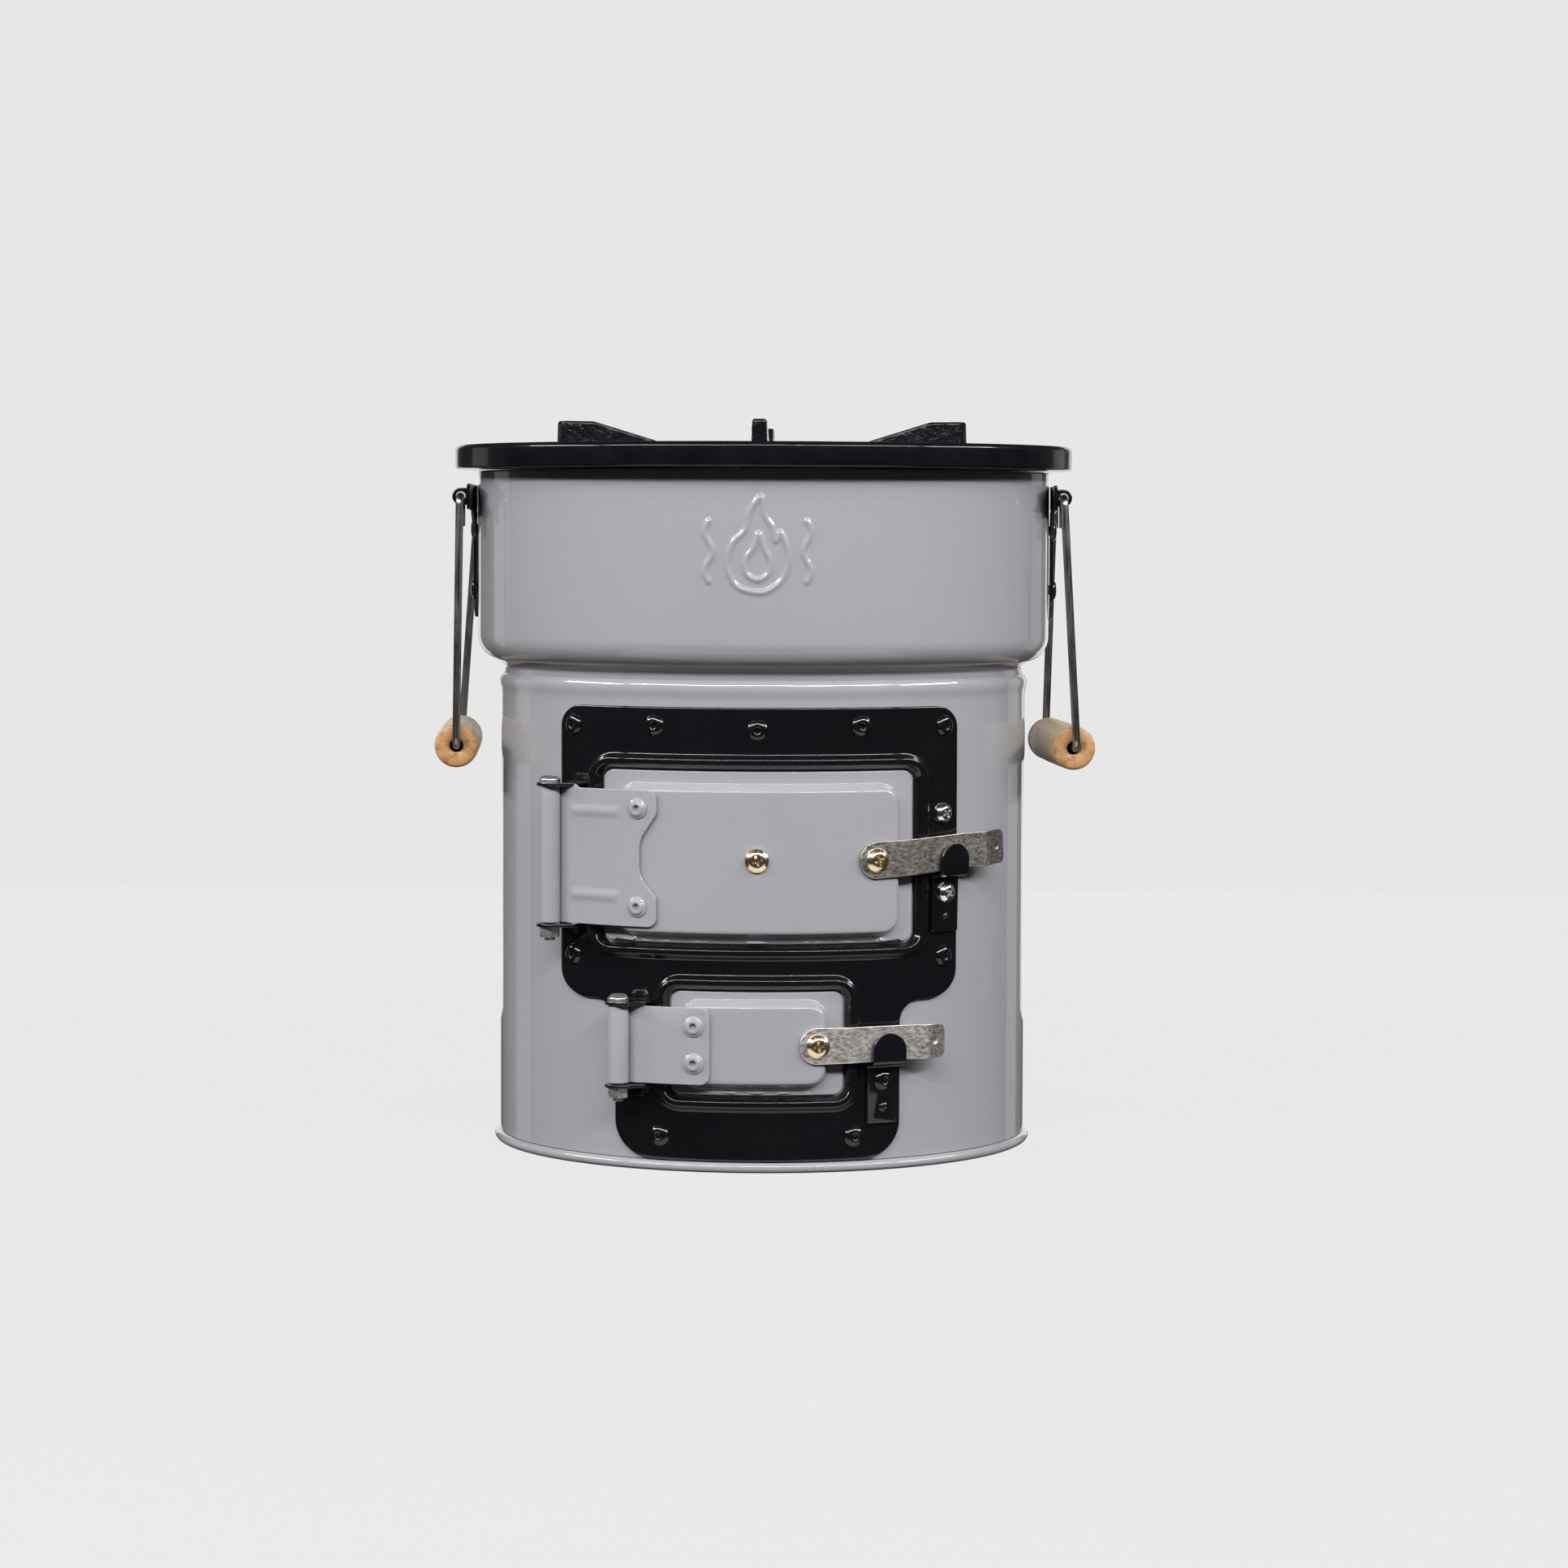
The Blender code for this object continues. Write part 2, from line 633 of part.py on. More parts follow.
def make_door_panel(name, opening, raised):
    """A pressed panel that fills its opening, with a flat edge and a raised middle."""
    steps = (
        (grown(opening, -DOOR_GAP), OPENING_CORNER - DOOR_GAP, 0.0),
        (grown(raised, DOOR_SLOPE / 2), RAISED_CORNER + DOOR_SLOPE / 2, 0.0),
        (grown(raised, -DOOR_SLOPE / 2), RAISED_CORNER - DOOR_SLOPE / 2, DOOR_RISE),
    )
    bm = bmesh.new()
    rings = []
    for size, corner, height in steps:
        ring = ring_of(bm, rounded_box(*size, corner), FRAME_RADIUS)
        for v in ring:
            v.co.z += height
        rings.append(ring)
    loft(bm, rings)
    fill_between(bm, rings[-1:])
    return curved_sheet(name, bm, DOOR_SHEET, GREY_ENAMEL)


def make_liner():
    bm = bmesh.new()
    fill_between(bm, [ring_of(bm, rounded_box(*LINER, 0.003), LINER_RADIUS)])
    return curved_sheet("fuel_door_liner", bm, DOOR_SHEET, CHAMBER_STEEL)


# --- Hinges ---------------------------------------------------------------------------------------


def upright(angle, radius):
    return Matrix.Translation((radius * math.sin(angle), -radius * math.cos(angle), 0))


def make_hinge_strap(name, angle, span, points):
    """A strap over the door, rolled into a knuckle round the hinge bolt."""
    low, high = span
    bm = bmesh.new()
    radius = FRAME_RADIUS + DOOR_RISE + GAP + STRAP_SHEET
    fill_between(bm, [ring_of(bm, points, radius)])
    obj = curved_sheet(name, bm, STRAP_SHEET, GREY_ENAMEL)
    tube = ((KNUCKLE_BORE, high), (KNUCKLE_RADIUS, high), (KNUCKLE_RADIUS, low), (KNUCKLE_BORE, low))
    place = upright(angle, HINGE_RADIUS)
    knuckle = turned(name + "_knuckle", tube, KNUCKLE_FACETS, GREY_ENAMEL, closed=True, place=place)
    boolean(obj, "UNION", as_cutter(knuckle))
    return obj


def fuel_strap_outline():
    """The strap's end is hollowed between its two rivets."""
    low, high = FUEL_STRAP
    start = HINGE_RADIUS * 0.975 * math.sin(FUEL_HINGE_ANGLE)
    neck = FUEL_STRAP_END - 0.0075
    return outline((
        (start, low, 0), (FUEL_STRAP_END, low, 0.004), (FUEL_STRAP_END, low + 0.0140, 0.003),
        (neck, low + 0.0220, 0.010), (neck, high - 0.0220, 0.010), (FUEL_STRAP_END, high - 0.0140, 0.003),
        (FUEL_STRAP_END, high, 0.004), (start, high, 0),
    ))


def ash_strap_outline():
    low, high = ASH_STRAP
    start = HINGE_RADIUS * 0.975 * math.sin(ASH_HINGE_ANGLE)
    return outline((
        (start, low, 0), (ASH_STRAP_END, low, 0.004), (ASH_STRAP_END, high, 0.004), (start, high, 0),
    ))


def make_hinge_bracket(name, angle, span):
    """A plate on the frame with an ear above and an ear below the knuckle."""
    low, high = span
    low_ear = low - EAR_GAP - EAR_THICKNESS
    high_ear = high + EAR_GAP
    inner = FRAME_RADIUS + GAP
    bm = bmesh.new()
    left, right = (inner * math.sin(angle + turn) for turn in (-0.030, 0.085))
    corners = rounded_box(left, right, low_ear, high_ear + EAR_THICKNESS, 0.0)
    fill_between(bm, [ring_of(bm, corners, inner + 0.0013)])
    obj = curved_sheet(name, bm, 0.0013, BLACK_ENAMEL)
    root = inner + 0.0006 - HINGE_RADIUS
    ear = outline((
        (-EAR_RADIUS, root, 0), (EAR_REACH, root, 0), (EAR_REACH, -0.0040, 0.002),
        (EAR_RADIUS, EAR_RADIUS, 0.005), (-EAR_RADIUS, EAR_RADIUS, 0.005),
    ))
    turn = Matrix.Rotation(angle, 4, "Z") @ Matrix.Rotation(math.pi, 4, "X")
    for number, height in enumerate((low_ear, high_ear)):
        place = upright(angle, HINGE_RADIUS) @ Matrix.Translation((0, 0, height + EAR_THICKNESS / 2)) @ turn
        blade = mesh_of(plate(ear, EAR_THICKNESS), "ear")
        other = add(f"{name}_ear_{number + 1}", blade, BLACK_ENAMEL, place)
        boolean(obj, "UNION", as_cutter(other))
    middle = upright(angle, HINGE_RADIUS) @ Matrix.Translation((0, 0, (low + high) / 2))
    drill([obj], [middle], KNUCKLE_BORE, 0.2)
    return obj


def make_hinge_bolt(name, angle, span):
    low, high = span
    seat = high + EAR_GAP + EAR_THICKNESS + GAP
    foot = low - EAR_GAP - EAR_THICKNESS - GAP - NUT_HEIGHT - 0.0015
    top = seat + BOLT_HEAD_HEIGHT
    profile = (
        (0, top), (BOLT_HEAD_RADIUS * 0.6, top - 0.0003), (BOLT_HEAD_RADIUS, seat + 0.0012),
        (BOLT_HEAD_RADIUS, seat), (BOLT_RADIUS, seat), (BOLT_RADIUS, foot), (0, foot),
    )
    return turned(name, profile, BOLT_FACETS, BRIGHT_STEEL, place=upright(angle, HINGE_RADIUS))


def make_hinge_nut(name, angle, span):
    high = span[0] - EAR_GAP - EAR_THICKNESS - GAP
    low = high - NUT_HEIGHT
    place = upright(angle, HINGE_RADIUS)
    hexagon = ((0, high), (NUT_RADIUS, high), (NUT_RADIUS, low), (0, low))
    obj = turned(name, hexagon, 6, BRIGHT_STEEL, place=place)
    drill([obj], [place @ Matrix.Translation((0, 0, (low + high) / 2))], KNUCKLE_BORE, 0.02)
    return obj


# --- Latches ----------------------------------------------------------------------------------------


def latch_bends(pivot_angle, keeper_angle, past_keeper):
    """How far the strap lies from the body's axis along its length, to pass flat behind the tongue.

    Past the keeper the strap has a ridge and an end tab, both set out from the tongue's centre.
    """
    turn = keeper_angle - pivot_angle
    behind = KEEPER_TONGUE_RADIUS - 2 * GAP - LATCH_SHEET / 2
    marks = (
        (LATCH_RIDGE[0] - 0.0040, behind), (LATCH_RIDGE[0], behind + LATCH_RIDGE_RISE),
        (LATCH_RIDGE[1], behind + LATCH_RIDGE_RISE), (past_keeper, behind - LATCH_END_DROP),
    )
    past = [
        (r * math.sin(turn) + s * math.cos(turn), r * math.cos(turn) - s * math.sin(turn))
        for s, r in marks
    ]
    meets = behind * math.sin(turn) - (LATCH_PLANE - behind * math.cos(turn)) / math.tan(turn)
    return [(-LATCH_WIDTH, LATCH_PLANE), (meets, LATCH_PLANE), *past]


def make_latch(name, angle, height, keeper_angle, past_keeper, tilt):
    """A spring steel strap, round at its pivot, bent over the rib and down to its keeper."""
    bends = latch_bends(angle, keeper_angle, past_keeper)
    half = LATCH_WIDTH / 2
    end = bends[-1][0]
    square_end = outline(((end, -half, 0.003), (end, half, 0.003), (0, half, 0)))[:-1]
    shape = arc((0, 0), half, 90, 270, 6) + square_end
    bm = plate(shape, LATCH_SHEET)
    cut_across(bm, [distance for distance, _ in bends])
    for v in bm.verts:
        v.co.z += height_on(bends, v.co.x)
    place = facing(angle, 0, height) @ Matrix.Rotation(tilt, 4, "Z")
    obj = add(name, mesh_of(bm, name), BRIGHT_STEEL, place)
    drill([obj], [facing(angle, LATCH_PLANE, height)])
    return obj


def height_on(bends, distance):
    for (x0, y0), (x1, y1) in zip(bends, bends[1:]):
        if distance <= x1:
            return y0 + (y1 - y0) * (distance - x0) / (x1 - x0)
    return bends[-1][1]


def make_keeper(name, angle, heights):
    """A strip on the frame whose top turns out and up, to hold the latch."""
    foot, shelf, top = heights
    inner = FRAME_RADIUS + GAP
    tongue = KEEPER_TONGUE_RADIUS
    side = (
        (inner, foot), (inner + KEEPER_SHEET, foot), (inner + KEEPER_SHEET, shelf),
        (tongue + KEEPER_SHEET, shelf), (tongue + KEEPER_SHEET, top), (tongue, top),
        (tongue, shelf + KEEPER_SHEET), (inner, shelf + KEEPER_SHEET),
    )
    bm = plate(side, KEEPER_WIDTH)
    stand = Matrix.Rotation(angle - math.pi / 2, 4, "Z") @ Matrix.Rotation(math.pi / 2, 4, "X")
    return add(name, mesh_of(bm, name), BLACK_ENAMEL, stand)


# --- Handles ------------------------------------------------------------------------------------------


def make_handle_bracket(name, side):
    """A flat T-shaped plate against the band, with an ear at each end of its bar."""
    low, high = BRACKET_BAR
    wide = HANDLE_BAR_END
    stem = BRACKET_STEM
    points = outline((
        (-wide, low, 0), (-0.022, low - 0.001, 0.006), (-stem, low - 0.011, 0.006),
        (-stem, BRACKET_TIP + 0.008, 0.010), (0, BRACKET_TIP, 0.004), (stem, BRACKET_TIP + 0.008, 0.010),
        (stem, low - 0.011, 0.006), (0.022, low - 0.001, 0.006), (wide, low, 0), (wide, high, 0),
        (-wide, high, 0),
    ))
    out = facing(side * math.pi / 2)
    middle = BRACKET_FACE - BRACKET_SHEET / 2
    flat = mesh_of(plate(points, BRACKET_SHEET), name)
    obj = add(name, flat, BLACK_ENAMEL, out @ Matrix.Translation((0, 0, middle)))
    pivot, height = BAIL_PIVOT
    ear = [
        (middle, height - HANDLE_EAR_RADIUS),
        *arc(BAIL_PIVOT, HANDLE_EAR_RADIUS, -90, 90, 6),
        (middle, height + HANDLE_EAR_RADIUS),
    ]
    stand = Matrix.Rotation((1 - side) * math.pi / 2, 4, "Z") @ Matrix.Rotation(math.pi / 2, 4, "X")
    for end in (-1, 1):
        place = Matrix.Translation((0, end * (HANDLE_EAR_FACE - BRACKET_SHEET / 2), 0)) @ stand
        other = add(f"{name}_ear", mesh_of(plate(ear, BRACKET_SHEET), "ear"), BLACK_ENAMEL, place)
        boolean(obj, "UNION", as_cutter(other))
    along = Matrix.Translation((side * pivot, 0, height)) @ Matrix.Rotation(math.pi / 2, 4, "X")
    drill([obj], [along], BAIL_WIRE / 2 + 0.0005, 0.2)
    return obj


def make_bail(name, side, shift, skew):
    """A wire from one ear down through the grip and up to the other, each end turned down as a tail.

    The shift is how far out the foot hangs, and the skew how much further out its front end stands.
    """
    pivot, height = BAIL_PIVOT
    out, low = GRIP_CENTRE
    corners = []
    for end in (1, -1):
        leg = [
            (Vector((side * pivot, end * BAIL_TAIL, height - BAIL_TAIL_LENGTH)), 0),
            (Vector((side * pivot, end * BAIL_TAIL, height)), 0.0026),
            (Vector((side * pivot, end * BAIL_LEG, height)), 0.0026),
            (Vector((side * (out + shift - end * skew), end * BAIL_LEG, low)), 0.0040),
        ]
        corners += leg[::end]
    path = [corners[0][0]]
    for k in range(1, len(corners) - 1):
        path += rounded_corner(corners[k - 1][0], corners[k][0], corners[k + 1][0], corners[k][1], 3)
    path.append(corners[-1][0])
    curve = bpy.data.curves.new(name, "CURVE")
    curve.dimensions = "3D"
    curve.bevel_depth = BAIL_WIRE / 2
    curve.bevel_resolution = 2
    curve.use_fill_caps = True
    spline = curve.splines.new("POLY")
    spline.points.add(len(path) - 1)
    for target, point in zip(spline.points, path):
        target.co = (*point, 1)
    return add(name, curve, WIRE_STEEL)


def grip_place(side, shift, turn):
    out, height = GRIP_CENTRE
    return Matrix.Translation((side * (out + shift), 0, height)) @ Matrix.Rotation(turn, 4, "Z")


def make_grip(name, place):
    half = GRIP_HALF_LENGTH
    chamfer = 0.0010
    profile = (
        (GRIP_BORE, half), (GRIP_RADIUS - chamfer, half), (GRIP_RADIUS, half - chamfer),
        (GRIP_RADIUS, chamfer - half), (GRIP_RADIUS - chamfer, -half), (GRIP_BORE, -half),
    )
    stand = Matrix.Rotation(math.pi / 2, 4, "X")
    return turned(name, profile, GRIP_FACETS, WOOD, closed=True, place=place @ stand)


# --- Assembly --------------------------------------------------------------------------------------------


def axis_empty(name, place, parent=None):
    empty = bpy.data.objects.new(name, None)
    empty.empty_display_size = 0.02
    PARTS.objects.link(empty)
    attach([empty], parent)
    empty.matrix_world = place
    bpy.context.view_layer.update()
    return empty


def attach(objects, parent):
    for obj in objects:
        if parent is not None:
            obj.parent = parent
            obj.matrix_parent_inverse = parent.matrix_world.inverted()


def on_frame(x, height, lift=GAP):
    """A place on the frame's face, x as seen from the front."""
    return facing(angle_at(x, FRAME_RADIUS), FRAME_RADIUS + lift, height)


def on_door(x, height, lift):
    radius = FRAME_RADIUS + DOOR_RISE
    return facing(angle_at(x, radius), radius + lift, height)


def build_shell():
    lower_shell = make_lower_shell()
    upper_shell = make_upper_shell()
    make_base_pan()
    make_cast_top()
    make_top_pan()
    make_floor_tile()
    return lower_shell, upper_shell


def build_core(lower_shell):
    fire_box, ash_box = make_chamber()
    insulation = make_insulation()
    make_grate()
    for name, tube, opening, narrowing in (
        ("fuel", fire_box, FUEL_OPENING, FUEL_TUNNEL_NARROWING),
        ("ash", ash_box, ASH_OPENING, ASH_TUNNEL_NARROWING),
    ):
        size = tunnel_size(opening, narrowing)
        make_tunnel(f"{name}_tunnel", size)
        boolean(insulation, "DIFFERENCE", duct_cutter(f"{name}_channel", size, CHANNEL_MARGIN))
        boolean(tube, "DIFFERENCE", duct_cutter(f"{name}_port", size, -TUNNEL_SHEET))
        left, right, low, high = grown(opening, -FUEL_WINDOW_MARGIN)
        window = box(f"{name}_window", (left, -0.150, low), (right, -0.060, high), GREY_ENAMEL)
        boolean(lower_shell, "DIFFERENCE", as_cutter(window))


def build_frame(lower_shell):
    frame = make_door_frame()
    fuel_keeper = make_keeper("fuel_keeper", FUEL_KEEPER_ANGLE, FUEL_KEEPER)
    ash_keeper = make_keeper("ash_keeper", ASH_KEEPER_ANGLE, ASH_KEEPER)
    through = [on_frame(x, z) for x, z in (*FRAME_RIVETS.values(), FRAME_SCREW)]
    for name, (x, z) in FRAME_RIVETS.items():
        rivet(name, on_frame(x, z), FRAME_SHANK, BLACK_ENAMEL)
    screw("frame_screw_upper", on_frame(*FRAME_SCREW), FRAME_SHANK, BRIGHT_STEEL)
    lift = 2 * GAP + KEEPER_SHEET
    fuel_place = facing(FUEL_KEEPER_ANGLE, FRAME_RADIUS + lift, FUEL_KEEPER_SCREW_HEIGHT)
    ash_place = facing(ASH_KEEPER_ANGLE, FRAME_RADIUS + lift, ASH_KEEPER_RIVET_HEIGHT)
    screw("fuel_keeper_screw", fuel_place, KEEPER_SHANK, BRIGHT_STEEL)
    rivet("ash_keeper_rivet", ash_place, KEEPER_SHANK, BLACK_ENAMEL)
    drill([frame, lower_shell], [*through, fuel_place, ash_place])
    drill([fuel_keeper], [fuel_place])
    drill([ash_keeper], [ash_place])
    for name, angle, span in (
        ("fuel_hinge", FUEL_HINGE_ANGLE, FUEL_STRAP), ("ash_hinge", ASH_HINGE_ANGLE, ASH_STRAP),
    ):
        make_hinge_bracket(f"{name}_bracket", angle, span)
        make_hinge_bolt(f"{name}_bolt", angle, span)
        make_hinge_nut(f"{name}_nut", angle, span)


def build_door(name, panel, strap, rivets, latch_place, latch, hinge_place, extra=()):
    """Fixes a door's strap and latch, and hangs them all on the hinge and latch axes."""
    places = [on_door(x, z, 2 * GAP + STRAP_SHEET) for x, z in rivets]
    drill([panel, strap], places)
    fixed = [
        rivet(f"{name}_strap_rivet_{end}", place, STRAP_SHANK, GREY_ENAMEL)
        for end, place in zip(("upper", "lower"), places)
    ]
    drill([panel], [latch_place])
    screw_place = latch_place @ Matrix.Translation((0, 0, LATCH_SHEET / 2 + GAP))
    fixed.append(screw(f"{name}_latch_screw", screw_place, LATCH_SHANK, YELLOW_ZINC))
    hinge = axis_empty(f"{name}_door_axis", hinge_place)
    attach([panel, strap, *fixed, *extra], hinge)
    attach([latch], axis_empty(f"{name}_latch_axis", latch_place, hinge))


def build_fuel_door():
    panel = make_door_panel("fuel_door_panel", FUEL_OPENING, FUEL_RAISED)
    strap = make_hinge_strap("fuel_hinge_strap", FUEL_HINGE_ANGLE, FUEL_STRAP, fuel_strap_outline())
    latch = make_latch(
        "fuel_latch_lever", FUEL_LATCH_ANGLE, FUEL_LATCH_HEIGHT, FUEL_KEEPER_ANGLE,
        FUEL_LATCH_END, FUEL_LATCH_TILT,
    )
    liner = make_liner()
    centre = on_door(0, FUEL_DOOR_SCREW_HEIGHT, GAP)
    centre_screw = screw("fuel_door_screw", centre, CENTRE_SHANK, YELLOW_ZINC)
    drill([panel, liner], [centre])
    latch_place = facing(FUEL_LATCH_ANGLE, LATCH_PLANE, FUEL_LATCH_HEIGHT)
    hinge_place = upright(FUEL_HINGE_ANGLE, HINGE_RADIUS)
    extra = [liner, centre_screw]
    build_door("fuel", panel, strap, FUEL_STRAP_RIVETS, latch_place, latch, hinge_place, extra)


def build_ash_door():
    panel = make_door_panel("ash_door_panel", ASH_OPENING, ASH_RAISED)
    strap = make_hinge_strap("ash_hinge_strap", ASH_HINGE_ANGLE, ASH_STRAP, ash_strap_outline())
    latch = make_latch(
        "ash_latch_lever", ASH_LATCH_ANGLE, ASH_LATCH_HEIGHT, ASH_KEEPER_ANGLE,
        ASH_LATCH_END, ASH_LATCH_TILT,
    )
    latch_place = facing(ASH_LATCH_ANGLE, LATCH_PLANE, ASH_LATCH_HEIGHT)
    hinge_place = upright(ASH_HINGE_ANGLE, HINGE_RADIUS)
    build_door("ash", panel, strap, ASH_STRAP_RIVETS, latch_place, latch, hinge_place)


def build_handle(name, side, upper_shell, hang):
    """A handle. Its hang is how far out its foot is, and how far its wire and its grip are askew."""
    shift, skew, turn = hang
    bracket = make_handle_bracket(f"{name}_handle_bracket", side)
    places = [facing(side * math.pi / 2, BRACKET_FACE + GAP, z) for z in BRACKET_RIVET_HEIGHTS]
    for end, place in zip(("upper", "lower"), places):
        rivet(f"{name}_bracket_rivet_{end}", place, BRACKET_SHANK, BLACK_ENAMEL)
    drill([bracket, upper_shell], places)
    pivot, height = BAIL_PIVOT
    swing = axis_empty(f"{name}_bail_axis", Matrix.Translation((side * pivot, 0, height)))
    attach([make_bail(f"{name}_bail", side, shift, skew)], swing)
    place = grip_place(side, shift, turn)
    spin = axis_empty(f"{name}_grip_axis", place, swing)
    attach([make_grip(f"{name}_grip", place)], spin)


def main():
    lower_shell, upper_shell = build_shell()
    build_core(lower_shell)
    build_frame(lower_shell)
    build_fuel_door()
    build_ash_door()
    build_handle("right", 1, upper_shell, RIGHT_HANG)
    build_handle("left", -1, upper_shell, LEFT_HANG)
    for obj in PARTS.objects:
        if obj.type == "MESH":
            obj.data.shade_smooth()


main()
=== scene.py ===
"""The looks of a portable rocket stove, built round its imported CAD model.

Metres, +Z up, and the doors face -Y. Angles round the body run from -Y towards +X.
"""

import math

import bmesh
import bpy
import numpy as np
from mathutils import Matrix, Vector, noise


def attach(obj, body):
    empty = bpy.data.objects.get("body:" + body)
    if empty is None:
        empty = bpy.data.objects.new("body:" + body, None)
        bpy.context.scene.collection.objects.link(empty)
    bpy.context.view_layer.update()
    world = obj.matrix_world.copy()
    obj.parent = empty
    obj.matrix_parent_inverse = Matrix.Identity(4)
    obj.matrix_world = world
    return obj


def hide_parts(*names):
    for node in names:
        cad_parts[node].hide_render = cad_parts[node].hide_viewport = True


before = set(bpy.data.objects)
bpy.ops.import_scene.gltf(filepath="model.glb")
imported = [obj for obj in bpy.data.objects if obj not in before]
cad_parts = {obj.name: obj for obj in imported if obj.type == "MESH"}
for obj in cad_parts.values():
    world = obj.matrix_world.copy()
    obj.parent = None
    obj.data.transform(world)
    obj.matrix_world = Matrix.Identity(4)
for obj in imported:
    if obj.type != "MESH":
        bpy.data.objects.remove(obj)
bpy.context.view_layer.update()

IDENTITY = Matrix.Identity(4)
STANDING = Matrix.Rotation(math.pi / 2, 4, "X")
BEND_STEP = math.radians(1.25)
GAP = 0.0003

# Shell and top
BAND_RADIUS = 0.126
BODY_RADIUS = 0.116
BAND_TOP = 0.2948
RING_RADIUS = 0.136
RING_BOTTOM = 0.2955
RING_TOP = 0.306
DISH_TOP = 0.3005
FIN_TOP = 0.316
FIN_WIDTH = 0.007

# Frame and doors
FRAME_RADIUS = 0.1178
DOOR_RISE = 0.005
FUEL_OPENING = (-0.066, 0.066, 0.0957, 0.1697)
ASH_OPENING = (-0.0371, 0.0371, 0.0321, 0.0774)
FUEL_RAISED = (-0.0575, 0.0575, 0.1005, 0.162)
ASH_RAISED = (-0.0306, 0.0282, 0.0374, 0.0717)
OPENING_CORNER = 0.005

# Hinges
HINGE_RADIUS = 0.128
FUEL_HINGE = math.radians(-43.6)
ASH_HINGE = math.radians(-27.0)
FUEL_STRAP = (0.1033, 0.1608)
ASH_STRAP = (0.0378, 0.0703)

# Latches
LATCH_WIDTH = 0.0154
LATCH_SHEET = 0.0011
LATCH_PLANE = FRAME_RADIUS + DOOR_RISE + GAP + LATCH_SHEET / 2
FUEL_LATCH = (math.radians(23.8), 0.1317, math.radians(41.7), 0.0305, math.radians(2.8))
ASH_LATCH = (math.radians(11.9), 0.0543, math.radians(26.5), 0.0272, 0.0)
KEEPER_WIDTH = 0.0155
KEEPER_SHEET = 0.0012
TONGUE_RADIUS = 0.1245
FUEL_KEEPER = ((0.0997, 0.1236, 0.1378), 0.1063, 0.0016)
ASH_KEEPER = ((0.0203, 0.0448, 0.0592), 0.0271, 0.0022)

# Handles: side, name, shift of the grip, skew of the wire and turn of the grip
HANDLE_PIVOT = (0.1304, 0.2835)
GRIP_CENTRE = (0.132, 0.1755)
BAIL_WIRE = 0.0034
GRIP_HALF = 0.0445
HANDLES = (
    (1, "right", 0.0, 0.0046, math.radians(4.6)),
    (-1, "left", 0.003, -0.003, math.radians(3.6)),
)

# Sheets and fasteners
SHELL_SHEET = 0.0008
FRAME_SHEET = 0.0015
DOOR_SHEET = 0.001
STRAP_SHEET = 0.0012
EAR_SHEET = 0.0015
SHANK = 0.0021
NICKEL_HEAD = 0.0043
ZINC_SCREW = ("yellow_zinc", 0.0051)


# --- Meshes ---


def arc(centre, radius, start, end, steps):
    """Points on an arc in a plane, from one angle in degrees to another."""
    angles = [math.radians(start + (end - start) * k / steps) for k in range(steps + 1)]
    return [(centre[0] + radius * math.cos(a), centre[1] + radius * math.sin(a)) for a in angles]


def circle(centre, radius):
    return arc(centre, radius, 0, 360, 24)[:-1]


def round_corner(before, corner, after, radius, steps):
    if radius == 0:
        return [corner]
    back = (before - corner).normalized()
    ahead = (after - corner).normalized()
    half = back.angle(ahead) / 2
    middle = corner + (back + ahead).normalized() * radius / math.sin(half)
    start = corner + back * radius / math.tan(half) - middle
    end = corner + ahead * radius / math.tan(half) - middle
    turn = start.angle(end)
    axis = start.cross(end)
    return [middle + Matrix.Rotation(turn * k / steps, 3, axis) @ start for k in range(steps + 1)]


def outline(corners, steps=8):
    """A closed outline through (x, y, radius) corners."""
    at = [Vector((x, y, 0)) for x, y, _ in corners]
    points = []
    for k, (_, _, radius) in enumerate(corners):
        points += round_corner(at[k - 1], at[k], at[(k + 1) % len(at)], radius, steps)
    return [(p.x, p.y) for p in points]


def route(corners, steps):
    """An open path through (point, radius) corners. The first and last are its ends."""
    at = [Vector(point) for point, _ in corners]
    points = [at[0]]
    for k in range(1, len(at) - 1):
        points += round_corner(at[k - 1], at[k], at[k + 1], corners[k][1], steps)
    return points + [at[-1]]


def path(corners, steps=6):
    """The same in a plane, through (x, y, radius) corners."""
    return [(p.x, p.y) for p in route([((x, y, 0), radius) for x, y, radius in corners], steps)]


def rounded_box(left, right, low, high, radius, steps=8):
    corners = ((left, low), (right, low), (right, high), (left, high))
    return outline([(x, y, radius) for x, y in corners], steps)


def grown(box, margin):
    left, right, low, high = box
    return left - margin, right + margin, low - margin, high + margin


def inset(points, distance):
    """A counterclockwise outline moved inwards."""
    moved = []
    for k in range(len(points)):
        along = Vector(points[(k + 1) % len(points)]) - Vector(points[k - 1])
        along.normalize()
        moved.append((points[k][0] - along.y * distance, points[k][1] + along.x * distance))
    return moved


def around(angle, radius, height):
    """The point at an angle round the body."""
    return Vector((radius * math.sin(angle), -radius * math.cos(angle), height))


def lathe(profile, facets=64, closed=False, angles=None, relief=None):
    """Turns (radius, height) points, listed down the outer side, about Z, as a BMesh."""
    bm = bmesh.new()
    if angles is None:
        angles = [2 * math.pi * k / facets for k in range(facets)]
    rows = []
    for radius, height in profile:
        turns = angles if radius > 1e-7 else angles[:1]
        row = []
        for angle in turns:
            out = radius + (relief(angle, height) if relief else 0)
            row.append(bm.verts.new(around(angle, out, height)))
        rows.append(row)
    if closed:
        rows.append(rows[0])
    for up, down in zip(rows, rows[1:]):
        for k in range(len(angles)):
            n = (k + 1) % len(angles)
            corners = [up[k % len(up)], down[k % len(down)], down[n % len(down)], up[n % len(up)]]
            distinct = list(dict.fromkeys(corners))
            if len(distinct) > 2:
                bm.faces.new(distinct)
    return bm


